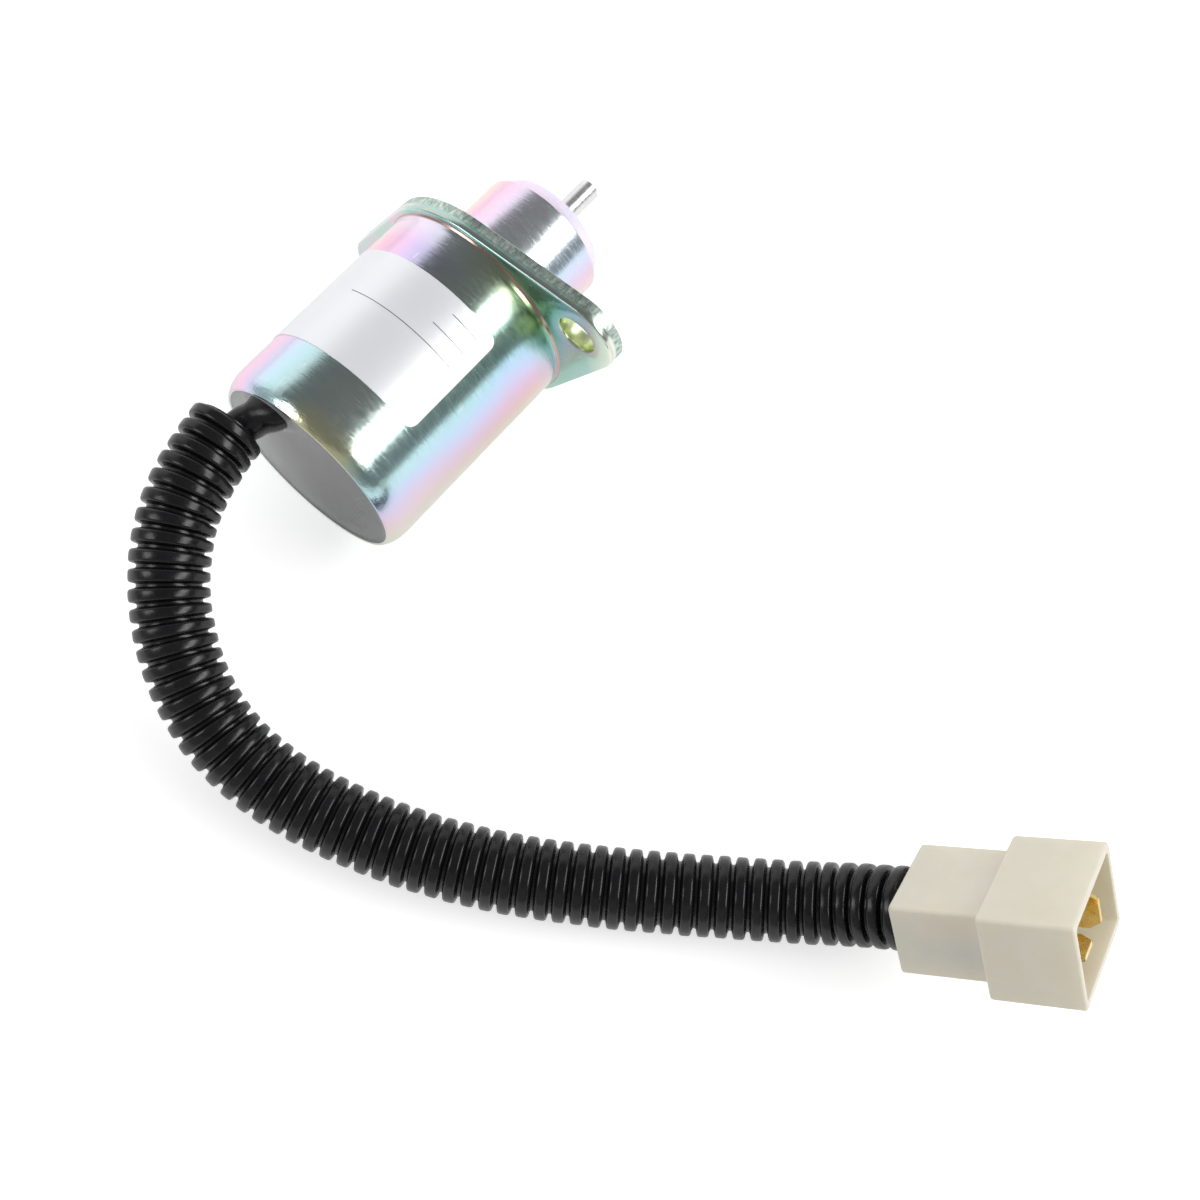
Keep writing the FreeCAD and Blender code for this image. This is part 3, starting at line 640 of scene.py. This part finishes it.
plastics = {
    # dark, light, roughness, scale of the grain, its height in metres
    "conduit black": ((0.004, 0.004, 0.005), (0.008, 0.008, 0.009), 0.24, 1600, 0.00001),
    "sleeve black": ((0.003, 0.003, 0.004), (0.010, 0.010, 0.012), 0.26, 700, 0.00008),
    "pale nylon": ((0.74, 0.69, 0.57), (0.78, 0.735, 0.62), 0.36, 1200, 0.00001),
    "bobbin nylon": ((0.12, 0.07, 0.035), (0.18, 0.11, 0.06), 0.45, 1200, 0.00001),
    "fibre board": ((0.22, 0.14, 0.08), (0.34, 0.23, 0.14), 0.7, 2200, 0.00004),
    "winding tape": ((0.62, 0.45, 0.10), (0.74, 0.56, 0.16), 0.35, 900, 0.00002),
    "damper rubber": ((0.012, 0.012, 0.012), (0.025, 0.025, 0.025), 0.6, 1500, 0.00002),
    "red wire cover": ((0.30, 0.02, 0.015), (0.38, 0.035, 0.025), 0.4, 1200, 0.00002),
    "black wire cover": ((0.012, 0.012, 0.012), (0.025, 0.025, 0.025), 0.4, 1200, 0.00002),
}


def plastic(name, **constants):
    dark, light, roughness, grainScale, grain = plastics[name]
    shade = newShade(name, **constants)
    cloud = shade.speckle(140, 4.0, 0.6)
    shade.put("Base Color", shade.blend(shade.span(cloud, 0.3, 0.7), (*dark, 1), (*light, 1)))
    fine = shade.speckle(grainScale, 3.0, 0.5)
    shade.put("Roughness", shade.span(fine, 0.3, 0.7, roughness - 0.06, roughness + 0.08))
    shade.put("Normal", shade.bump(fine, grain, 0.6))
    return shade.holder


conduitBlack = plastic("conduit black", Specular_IOR_Level=0.4)
sleeveBlack = plastic("sleeve black", Specular_IOR_Level=0.3)
nylonPale = plastic("pale nylon", Subsurface_Weight=0.45, Subsurface_Radius=(1.0, 0.85, 0.6),
                    Subsurface_Scale=0.0035)
nylonBrown = plastic("bobbin nylon")
fibreBoard = plastic("fibre board")
tapeFilm = plastic("winding tape")
dampRubber = plastic("damper rubber")
redCover = plastic("red wire cover")
blackCover = plastic("black wire cover")

# greys of the resin; the paler stops are a painted reflection of the lit floor
resinGreysAndReflection = [
    (0.0, (0.095, 0.095, 0.10)), (0.4, (0.15, 0.15, 0.154)), (0.75, (0.27, 0.27, 0.27)), (1.0, (0.44, 0.44, 0.44)),
]


def resin(greysAndReflection):
    # paler towards +Y and up: a painted reflection of the lit floor near the sleeve, over the resin's own dark
    # grey
    shade = newShade("grey resin")
    cloud = shade.speckle(70, 4.0, 0.6)
    y, z = shade.parts(shade.place())[1:]
    # painted reflection: how far a place lies into the paler, floor-lit part of the face
    pale = shade.span(y + z * 0.25 + (cloud - 0.5) * 0.008, -0.016, 0.013)
    shade.put("Base Color", shade.ramp(pale, greysAndReflection))
    fine = shade.speckle(1100, 3.0, 0.5)
    shade.put("Roughness", shade.span(fine, 0.3, 0.7, 0.17, 0.24))
    shade.put("Normal", shade.bump(cloud + fine * 0.02, 0.00006, 0.3))
    return shade.holder


greyResin = resin(resinGreysAndReflection)

labelInk = {
    # place along the axis in metres, and the degrees at which the line starts
    "lines": ((-0.0150, 112), (-0.0183, 108), (-0.0216, 62)),
    "end": 129,
    "halfWide": 0.00004,
    "edge": 0.00005,
    "turnEdge": 0.0005,
    "colour": (0.02, 0.02, 0.022, 1),
    "film": ((0.92, 0.93, 0.98, 1), (0.96, 0.97, 1.0, 1)),
}


def labelFilm(marks):
    # satin silver film with three generic ruled lines near its front edge
    shade = newShade("label film", Metallic=0.45)
    x, turn = aroundAxis(shade)
    inner, outer = marks["halfWide"], marks["halfWide"] + marks["edge"]
    ink = 0.0
    for place, first in marks["lines"]:
        line = shade.band(x, (place - outer, place - inner), (place + inner, place + outer))
        start, end = fromAngle(first), fromAngle(marks["end"])
        stretch = shade.band(turn, (start - marks["turnEdge"], start), (end, end + marks["turnEdge"]))
        ink = line * stretch + ink
    film = shade.blend(shade.speckle(200, 2.0, 0.5), *marks["film"])
    shade.put("Base Color", shade.blend(ink, film, marks["colour"]))
    fine = shade.speckle(2600, 2.0, 0.5)
    shade.put("Roughness", shade.span(fine, 0.3, 0.7, 0.36, 0.44))
    shade.put("Normal", shade.bump(fine, 0.000006, 0.5))
    return shade.holder


filmSilver = labelFilm(labelInk)

windingPitch = 0.00045


def windingWire(pitch):
    shade = newShade("enamelled wire", Metallic=0.85)
    x = shade.parts(shade.place())[0]
    turns = shade.node("ShaderNodeMath", {"operation": "SINE"}, {0: x * (2 * math.pi / pitch)})
    cloud = shade.speckle(160, 3.0, 0.5)
    shade.put("Base Color", shade.blend(cloud, (0.48, 0.17, 0.07, 1), (0.68, 0.28, 0.12, 1)))
    shade.put("Roughness", shade.span(turns, -1, 1, 0.4, 0.25))
    shade.put("Normal", shade.bump(turns, 0.0001, 0.8))
    return shade.holder


copperWire = windingWire(windingPitch)
print("materials made")

dress(conduit, conduitBlack)

# drawn can: rolled rear lip, flare against the flange
canShape = {
    "rear": -45.4, "front": -3.2, "radius": 19.0, "wall": 1.2, "frontWall": 1.5, "spigotHole": 10.03,
    "flare": 0.35, "lipBore": 17.3, "lipThick": 2.0, "lipRound": 0.12, "rimDeep": 1.2, "rollLong": 5.6,
    "rollPower": 3.5, "rollSteps": 14, "wallSteps": 12, "dent": 0.03, "around": 192,
}


def makeCan(s):
    rear, front, r = s["rear"], s["front"], s["radius"]
    inner = r - s["wall"]
    roll = []
    for k in range(s["rollSteps"] + 1):
        share = k / s["rollSteps"]
        deep = s["rimDeep"] * (1 - share) ** s["rollPower"]
        roll.append((rear + s["rollLong"] * share, r - deep, 0 if k else s["lipRound"]))
    outline = [
        (rear, s["lipBore"], s["lipRound"]), *roll, (front - 1.0, r, 0.6), (front - 0.35, r + 0.12, 0.3),
        (front, r + s["flare"], 0.0), (front, s["spigotHole"], 0.0),
        (front - s["frontWall"], s["spigotHole"], 0.1), (front - s["frontWall"], inner, 0.4),
        (rear + s["lipThick"], inner, 0.0), (rear + s["lipThick"], s["lipBore"], 0.1),
    ]

    def dents(along, radius, turn):
        if radius < r - s["rimDeep"] or along < rear + 0.1:
            return 0
        spot = Vector((along * 0.08, math.cos(turn) * 2.2, math.sin(turn) * 2.2))
        return noise.noise(spot) * s["dent"] - 0.02

    # the long straight wall gets rings between its ends for the dents
    stations = []
    for here, after in zip(outline, outline[1:] + outline[:1]):
        stations.append(here)
        reach = after[0] - here[0]
        if here[1] == after[1] == r and abs(reach) > 10:
            stations += [(here[0] + reach * k / s["wallSteps"], r, 0.0) for k in range(1, s["wallSteps"])]
    return spin("drawn_can", stations, s["around"], wobble=dents)


can = dress(makeCan(canShape), platedCan)
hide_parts("case_can")

# stamped flange
flangeShape = {
    "back": -3.2, "front": 0.0, "lobe": 7.3, "waist": 20.33, "reach": 26.5, "hole": 3.6, "centre": 10.03,
    "seat": 12.4, "seatDepth": 0.4, "roll": 0.45, "rollSteps": 5, "burr": 0.08, "lobeSteps": 28,
    "waistSteps": 24, "holeSteps": 56, "seatSteps": 96,
}


def flangeLean(s):
    return -math.asin((s["waist"] - s["lobe"]) / s["reach"])


def flangeOutline(s, inset):
    # an even number of points round two lobes and a waist, drawn in by inset
    tilt = math.acos((s["waist"] - s["lobe"]) / s["reach"])
    points = []

    def arc(centre, radius, start, end, steps):
        r = radius - inset
        for k in range(steps + 1):
            turn = start + (end - start) * k / steps
            points.append(Vector((centre + r * math.cos(turn), r * math.sin(turn))))

    arc(s["reach"], s["lobe"], -tilt, tilt, s["lobeSteps"])
    arc(0, s["waist"], tilt, math.pi - tilt, s["waistSteps"])
    arc(-s["reach"], s["lobe"], math.pi - tilt, math.pi + tilt, s["lobeSteps"])
    arc(0, s["waist"], math.pi + tilt, 2 * math.pi - tilt, s["waistSteps"])
    for p in points:
        p.rotate(Matrix.Rotation(flangeLean(s), 2))
    return points


def roundHole(s, centre, radius, steps):
    lean = flangeLean(s)
    middle = Vector((centre * math.cos(lean), centre * math.sin(lean)))
    return [middle + Vector(polar(0, radius, turn)[1:]) for turn in fullTurn(steps)]


def makeFlange(s):
    mesh = bmesh.new()
    back, front = s["back"], s["front"]

    def ring(places, along):
        return [mesh.verts.new(Vector((along, p.x, p.y)) * mm) for p in places]

    # the edge from the back face's roll to the burr in front, as (along, inset)
    edge = [(back + s["roll"] * (1 - math.sin(turn)), s["roll"] * (1 - math.cos(turn)))
            for turn in reversed(quarterTurn(s["rollSteps"]))]
    edge += [(back + 1.15, 0.0), (back + 1.3, 0.04), (front - 0.5, 0.05), (front - s["burr"], 0.02),
             (front, s["burr"])]
    outer = [ring(flangeOutline(s, inset), along) for along, inset in edge]
    loftWall(mesh, outer)
    # a bolt hole is a little wider at both faces
    holeEdge = ((back, 0.35), (back + 0.12, 0.12), (back + 0.4, 0.0), (front - 0.15, 0.0), (front, 0.12))
    bores = []
    for centre in (s["reach"], -s["reach"]):
        bores.append([ring(roundHole(s, centre, s["hole"] + wider, s["holeSteps"]), along)
                      for along, wider in holeEdge])
        loftWall(mesh, bores[-1], flip=True)
    floor = front - s["seatDepth"]
    middle = [ring(roundHole(s, 0, radius, s["seatSteps"]), along) for along, radius in (
        (back, s["centre"]), (floor, s["centre"]), (floor, s["seat"]), (front, s["seat"]))]
    loftWall(mesh, middle, flip=True)
    for end in (0, -1):
        flatLid(mesh, [outer[end], bores[0][end], bores[1][end], middle[end]])
    return fromBmesh("mounting_flange", mesh, 28)


flange = dress(makeFlange(flangeShape), flangeSteel)
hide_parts("flange_plate")

# turned nose, its bush and the push pin
noseShape = {
    "spigotBack": -4.7, "seat": -0.4, "front": 17.4, "radius": 12.3, "root": 12.1, "spigot": 10.0, "bore": 7.55,
    "boreFront": 10.9, "bushFront": 14.9, "bush": 4.5, "hole": 2.5, "bevelLong": 3.0, "bevelDeep": 2.2,
    "around": 160,
}


def makeNose(s):
    return spin("turned_nose", [
        (s["spigotBack"], s["bore"], 0.1), (s["spigotBack"], s["spigot"], 0.2), (s["seat"], s["spigot"], 0),
        (s["seat"], s["root"], 0.05), (0.2, s["root"], 0), (0.2, s["radius"], 0.08),
        (s["front"] - s["bevelLong"], s["radius"], 0.25), (s["front"], s["radius"] - s["bevelDeep"], 0.2),
        (s["front"], s["hole"], 0.25), (s["bushFront"], s["hole"], 0), (s["bushFront"], s["bush"], 0),
        (s["boreFront"], s["bush"], 0), (s["boreFront"], s["bore"], 0),
    ], s["around"])


nose = dress(makeNose(noseShape), noseSteel)
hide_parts("nose_piece")

pinShape = {
    "back": 1.9, "front": 28.05, "shank": 2.25, "shoulder": 17.8, "radius": 2.0, "break": 0.32, "around": 72,
}


def makePin(s):
    return spin("stepped_pin", [
        (s["back"], 0, 0), (s["back"], s["shank"], 0.2), (s["shoulder"], s["shank"], 0.03),
        (s["shoulder"] + 0.25, s["radius"], 0.03), (s["front"] - s["break"], s["radius"], 0.08),
        (s["front"], s["radius"] - s["break"], 0.08), (s["front"], 0.5, 0.05), (s["front"] - 0.25, 0, 0),
    ], s["around"], body="plunger")


pin = dress(makePin(pinShape), pinSteel)
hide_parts("push_pin")

springShape = {
    "first": -30.3, "last": -3.9, "mean": 3.6, "wire": 0.45, "turns": 9, "stepsPerTurn": 24, "around": 12,
    "anchor": -30.8, "shortest": 0.635,
}


def makeSpring(s):
    steps = s["turns"] * s["stepsPerTurn"]
    points = []
    for k in range(steps + 1):
        turn = 2 * math.pi * s["turns"] * k / steps
        along = s["first"] + (s["last"] - s["first"]) * k / steps
        points.append(Vector(polar(along, s["mean"], turn)))
    line = Line(points)
    sections = [(distance, s["wire"]) for distance in line.reach]
    return tube("return_coil", line, sections, s["around"], capped=True)


spring = dress(makeSpring(springShape), springWire)
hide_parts("return_spring")
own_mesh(spring)
print("can, flange, nose, pin and spring made")

# label film
labelShape = {
    "back": -33.6, "front": -12.3, "radius": 19.0, "thick": 0.11, "sunk": 0.03, "first": -42.5, "last": 137.5,
    "corner": 1.8, "cornerSteps": 8, "steps": 90,
}


def makeLabel(s):
    degree = 180 / (math.pi * s["radius"])
    cornerSpan = s["corner"] * degree
    low, high = s["first"] + cornerSpan, s["last"] - cornerSpan
    ends = quarterTurn(s["cornerSteps"])
    angles = [s["first"] + cornerSpan * (1 - math.cos(turn)) for turn in ends]
    angles += [low + (high - low) * k / s["steps"] for k in range(1, s["steps"] + 1)]
    angles += [s["last"] - cornerSpan * (1 - math.sin(turn)) for turn in ends[1:]]
    under, over = s["radius"] - s["sunk"], s["radius"] + s["thick"]
    points, faces = [], []
    for angle in angles:
        # the corners are round, so the strip is narrower near its ends
        gap = min(angle - s["first"], s["last"] - angle) / degree
        inset = 0.0
        if gap < s["corner"]:
            inset = s["corner"] - math.sqrt(max(0.0, s["corner"] ** 2 - (s["corner"] - gap) ** 2))
        back, front = s["back"] + inset, s["front"] - inset
        turn = math.radians(angle)
        points += [polar(along, r, turn) for along, r in (
            (back, under), (back, over), (front, over), (front, under))]
    for i in range(len(angles) - 1):
        bridge(faces, i * 4, (i + 1) * 4, 4)
    faces.append((0, 1, 2, 3))
    end = len(points)
    faces.append((end - 1, end - 2, end - 3, end - 4))
    return makePiece("label_film", points, faces, sharpAngle=40)


label = dress(makeLabel(labelShape), filmSilver)
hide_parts("blank_label")

# resin face with a rim meniscus and a raised fillet round the sleeve's foot
resinShape = {
    "rear": -45.2, "lip": -43.4, "front": -41.4, "radius": 17.3, "inner": 17.8, "around": 160, "rings": 44,
    "footY": 6.4, "footZ": 12.3, "footLong": 5.6, "footWide": 3.3,
    "rimWide": 1.1, "rimHigh": 0.17, "footSpread": 1.6, "footHigh": 0.32, "ripple": 0.05, "crowding": 0.8,
}


def footDistance(s, y, z):
    # about how far a place on the resin is outside the foot's oval
    away = Vector((y - s["footY"], z - s["footZ"]))
    longWay = Vector((-s["footZ"], s["footY"])).normalized()
    shortWay = Vector((longWay.y, -longWay.x))
    a, b = away.dot(longWay) / s["footLong"], away.dot(shortWay) / s["footWide"]
    reach = math.hypot(a, b)
    return (reach - 1) * (s["footLong"] + s["footWide"]) / 2


def makeResin(s):
    around, rings = s["around"], s["rings"]
    turns = fullTurn(around)
    points, faces = [], []
    for i in range(1, rings + 1):
        r = s["radius"] * (i / rings) ** s["crowding"]
        for turn in turns:
            y, z = r * math.cos(turn), r * math.sin(turn)
            rim = max(0.0, 1 - (s["radius"] - r) / s["rimWide"]) ** 2 * s["rimHigh"]
            foot = max(0.0, 1 - max(0.0, footDistance(s, y, z)) / s["footSpread"]) ** 2 * s["footHigh"]
            ripple = noise.noise(Vector((y * 0.12, z * 0.12, 3))) * s["ripple"]
            points.append((s["rear"] - max(rim, foot) - ripple, y, z))
    points.append((s["rear"], 0, 0))
    for k in range(around):
        faces.append((len(points) - 1, k, (k + 1) % around))
    for i in range(rings - 1):
        bridge(faces, i * around, (i + 1) * around, around)
    previous = (rings - 1) * around
    for along, radius in ((s["lip"], s["radius"]), (s["lip"], s["inner"]), (s["front"], s["inner"])):
        start = len(points)
        points += [polar(along, radius, turn) for turn in turns]
        bridge(faces, previous, start, around)
        previous = start
    points.append((s["front"], 0, 0))
    for k in range(around):
        faces.append((len(points) - 1, previous + (k + 1) % around, previous + k))
    return makePiece("resin_fill", points, [face[::-1] for face in faces], sharpAngle=50)


resinFill = dress(makeResin(resinShape), greyResin)
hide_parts("potting")

# sleeve with a flared, slightly ragged foot
sleeveShape = {
    "radius": 3.08, "bore": 2.5, "around": 56, "footHeight": 2.4, "footSteps": 8, "runSteps": 64, "boreSteps": 6,
    "ragged": 0.10, "crease": 0.10, "shrink": 0.06,
}


def makeSleeve(s, line, foot):
    longWay = Vector((0, -foot["footZ"], foot["footY"])).normalized()
    around = s["around"]
    turns = fullTurn(around)
    points, faces = [], []

    def ringFrame(distance):
        # the ring's middle, its long way and the way across that
        place, ahead = line.at(distance)[:2]
        side = (longWay - ahead * longWay.dot(ahead)).normalized()
        return place, side, ahead.cross(side)

    # (distance, flare) up the foot, then along the run
    shares = [k / s["footSteps"] for k in range(s["footSteps"])]
    stations = [(s["footHeight"] * share, (1 - share) ** 2) for share in shares]
    run = line.length - s["footHeight"]
    stations += [(s["footHeight"] + run * k / s["runSteps"], 0) for k in range(s["runSteps"] + 1)]
    for distance, flare in stations:
        place, side, across = ringFrame(distance)
        for turn in turns:
            ragged = 1 + noise.noise(Vector((math.cos(turn) * 2, math.sin(turn) * 2, 5))) * s["ragged"]
            spot = Vector((place.x * 0.9, math.cos(turn) * 1.5, math.sin(turn) * 1.5))
            r = s["radius"] + noise.noise(spot) * s["crease"] - s["shrink"]
            a = r + (foot["footLong"] * ragged - s["radius"]) * flare
            b = r + (foot["footWide"] - s["radius"]) * flare
            points.append(place + side * a * math.cos(turn) + across * b * math.sin(turn))
    for k in range(s["boreSteps"], -1, -1):
        place, side, across = ringFrame(line.length * k / s["boreSteps"])
        points += [place + (side * math.cos(turn) + across * math.sin(turn)) * s["bore"] for turn in turns]
    rings = len(points) // around
    for i in range(rings):
        bridge(faces, i * around, ((i + 1) % rings) * around, around)
    return makePiece("lead_sleeve_soft", points, faces, sharpAngle=60)


sleeveLine = Line(centreLine("sleeveLine", sleeveRoute))
sleeve = dress(makeSleeve(sleeveShape, sleeveLine, resinShape), sleeveBlack)
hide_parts("lead_sleeve")
print("label, resin and sleeve made")

# connector housing, in its own frame at the conduit's end
housingShape = {
    "rearHalf": (8.3, 6.15), "frontHalf": (10.57, 7.38), "rearLong": 14.1, "frontLong": 14.3, "wall": 1.15,
    "mouthDeep": 12.5, "chamberHalf": (7.35, 4.45), "chamberDeep": 4.0, "rounding": 0.6, "rearEdge": 0.5,
    "shoulder": (0.6, 0.3), "mouthEdge": 0.4, "edgeSteps": 4, "slotRound": 0.15, "roll": 35.9,
    "shift": (0.29, 0.05, 0.06),
    # middle across and up, half width, half height
    "crossSlot": (3.9, 0.0, 2.0, 3.9), "stemSlot": (-3.7, -1.5, 3.9, 2.0),
}


def housingFrame(route, roll, shift):
    last, before = Vector(route[-1]), Vector(route[-2])
    forward = (last - before).normalized()
    level = forward.cross(Vector((0, 0, 1))).normalized()
    over = level.cross(forward)
    roll = math.radians(roll)
    across = level * -math.cos(roll) - over * math.sin(roll)
    up = forward.cross(across)
    turn = Matrix((across, up, forward)).transposed().to_4x4()
    turn.translation = last + Vector(shift)
    return turn


plugFrame = housingFrame(conduitRoute, housingShape["roll"], housingShape["shift"])


def softBox(halfWide, halfHigh, rounding, steps=8):
    points = []
    for cx, cy, start in ((1, 1, 0), (-1, 1, 90), (-1, -1, 180), (1, -1, 270)):
        for k in range(steps + 1):
            turn = math.radians(start + 90 * k / steps)
            points.append(Vector((cx * (halfWide - rounding) + rounding * math.cos(turn),
                                  cy * (halfHigh - rounding) + rounding * math.sin(turn))))
    return points


def makeHousing(s, frameHere):
    mesh = bmesh.new()
    (rw, rh), (fw, fh), (cw, ch) = s["rearHalf"], s["frontHalf"], s["chamberHalf"]
    iw, ih = fw - s["wall"], fh - s["wall"]
    deep, step, mouth = s["chamberDeep"], s["rearLong"], s["rearLong"] + s["frontLong"]
    floor = mouth - s["mouthDeep"]
    soft, rear, lip = s["rounding"], s["rearEdge"], s["mouthEdge"]
    turns = quarterTurn(s["edgeSteps"])
    shoulderLong, shoulderHigh = s["shoulder"]

    def ring(places, along):
        return [mesh.verts.new((frameHere @ Vector((p.x, p.y, along))) * mm) for p in places]

    # (half width, half height, rounding, along), from the chamber out over the blocks and into the mouth
    stations = [(cw, ch, 0.4, deep), (cw, ch, 0.4, 0.3), (cw + 0.2, ch + 0.2, 0.5, 0.0)]
    for turn in turns:
        inset = rear * (1 - math.sin(turn))
        stations.append((rw - inset, rh - inset, soft, rear * (1 - math.cos(turn))))
    stations += [
        (rw, rh, soft, step * 0.5), (rw, rh, soft, step - 0.35), (rw + 0.1, rh + 0.1, soft + 0.1, step - 0.1),
        (rw + 0.35, rh + 0.2, soft + 0.3, step),
    ]
    for turn in turns:
        inset = 1 - math.sin(turn)
        stations.append((fw - shoulderLong * inset, fh - shoulderHigh * inset, soft,
                         step + shoulderLong * (1 - math.cos(turn))))
    stations.append((fw, fh, soft, mouth - 4))
    for turn in turns:
        inset = lip * (1 - math.cos(turn))
        stations.append((fw - inset, fh - inset, soft, mouth - lip * (1 - math.sin(turn))))
    stations += [
        (iw + 0.3, ih + 0.3, soft + 0.3, mouth), (iw + 0.08, ih + 0.08, soft + 0.1, mouth - 0.12),
        (iw, ih, soft, mouth - lip), (iw, ih, soft, floor + 0.3), (iw - 0.3, ih - 0.3, soft, floor),
    ]
    loops = [ring(softBox(*size), along) for *size, along in stations]
    loftWall(mesh, loops)
    wells = []
    for cx, cy, halfWide, halfHigh in (s["crossSlot"], s["stemSlot"]):
        places = [p + Vector((cx, cy)) for p in softBox(halfWide, halfHigh, s["slotRound"], 3)]
        wells.append([ring(places, floor), ring(places, deep)])
        loftWall(mesh, wells[-1])
    flatLid(mesh, [loops[-1], wells[0][0], wells[1][0]])
    flatLid(mesh, [loops[0], wells[0][1], wells[1][1]])
    return fromBmesh("plug_housing", mesh, 40)


housing = dress(makeHousing(housingShape, plugFrame), nylonPale)
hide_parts("connector_housing")

innerFinishes = [
    # node, material, slot
    ("tab_cross", brass, "brass"), ("tab_stem", brass, "brass"), ("guide_tube", brass, "brass"),
    ("pin_bush", brass, "brass"), ("coil_bobbin", nylonBrown, "brown_nylon"),
    ("holding_winding", copperWire, "copper_winding"), ("pull_winding", copperWire, "copper_winding"),
    ("winding_tape", tapeFilm, "tape"), ("insulating_disc", fibreBoard, "fibre"),
    ("rear_flux_washer", innerSteel, "plain_steel"), ("rear_core", innerSteel, "plain_steel"),
    ("plunger", innerSteel, "plain_steel"), ("damper_washer", dampRubber, "damper_rubber"),
    ("lead_upper", redCover, "lead_red"), ("lead_lower", blackCover, "lead_black"),
]
for name, material, slotName in innerFinishes:
    dress(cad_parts[name], material)

print("connector made, inner nodes dressed")

# floor, lamps and world
stageShape = {
    "level": -20.34 * mm, "half": 6.0, "paper": (0.84, 0.84, 0.84, 1),
    # the paper glows a little near the object and fully, so white, from the second distance on
    "glow": 0.5, "glowReach": (0.4, 2.5), "mirrorGlow": 0.25,
}


def makeFloor(s):
    h, z = s["half"], s["level"]
    mesh = bpy.data.meshes.new("floor")
    mesh.from_pydata([(-h, -h, z), (h, -h, z), (h, h, z), (-h, h, z)], [], [(0, 1, 2, 3)])
    floor = bpy.data.objects.new("floor", mesh)
    scene.collection.objects.link(floor)
    shade = newShade("paper floor", Roughness=0.9, Specular_IOR_Level=0.1, Emission_Strength=1.0)
    shade.put("Base Color", s["paper"])
    camera, glossy, through = shade.node(
        "ShaderNodeLightPath", out=("Is Camera Ray", "Is Glossy Ray", "Is Transmission Ray"))
    away = shade.node("ShaderNodeVectorMath", {"operation": "LENGTH"}, {0: shade.place()}, out="Value")
    glow = camera * shade.span(away, *s["glowReach"], s["glow"], 1.0) + (glossy + through) * s["mirrorGlow"]
    shade.put("Emission Color", shade.blend(glow, (0, 0, 0, 1), (1, 1, 1, 1)))
    floor.data.materials.append(shade.holder)


makeFloor(stageShape)

lamps = [
    # name, azimuth, elevation, distance, width, height, radiance
    ("softSky", 20, 66, 1.5, 1.5, 1.5, 0.75),
    ("sideBox", -64, 39, 1.2, 1.3, 0.46, 5.2),
    ("farPanel", 68, 19, 1.3, 1.7, 0.90, 0.28),
    ("rearBox", 139, 38, 1.2, 0.5, 0.5, 3.4),
]


def makeLamp(name, azimuth, elevation, distance, width, height, radiance):
    data = bpy.data.lights.new(name, "AREA")
    data.shape = "RECTANGLE"
    data.size, data.size_y = width, height
    data.energy = radiance * math.pi * width * height
    lamp = bpy.data.objects.new(name, data)
    scene.collection.objects.link(lamp)
    # the soft sky lights dull surfaces only, the plating mirrors the world behind it
    lamp.visible_glossy = name != "softSky"
    a, e = math.radians(azimuth), math.radians(elevation)
    away = Vector((math.cos(e) * math.cos(a), math.cos(e) * math.sin(a), math.sin(e)))
    lamp.location = away * distance
    lamp.rotation_mode = "QUATERNION"
    lamp.rotation_quaternion = away.to_track_quat("Z", "Y")


for lamp in lamps:
    makeLamp(*lamp)

worldShape = {
    "dark": (0.19, 0.19, 0.192, 1), "pale": (0.85, 0.85, 0.85, 1), "overhead": (0.62, 0.70), "front": (0.3, 0.6),
    "left": (-0.35, 0.05), "leftLevel": 0.35,
}


def makeWorld(s):
    # pale round the horizon, darker overhead, towards the front and on the left
    world = bpy.data.worlds.new("studio")
    scene.world = world
    shade = Shade(world, Strength=1.0)
    x, y, z = shade.parts(shade.node("ShaderNodeTexCoord", out="Generated"))
    camera = shade.node("ShaderNodeLightPath", out="Is Camera Ray")
    low = shade.span(z, *s["overhead"], 1.0, 0.0)
    front = 1 - shade.span(x * 0.4 - y * 0.92, *s["front"])
    left = shade.span(x, *s["left"], s["leftLevel"], 1.0)
    room = shade.blend(low * front * left, s["dark"], s["pale"])
    shade.put("Color", shade.blend(camera, room, (1, 1, 1, 1)))


makeWorld(worldShape)
scene.view_settings.view_transform = "Standard"
print("stage set")
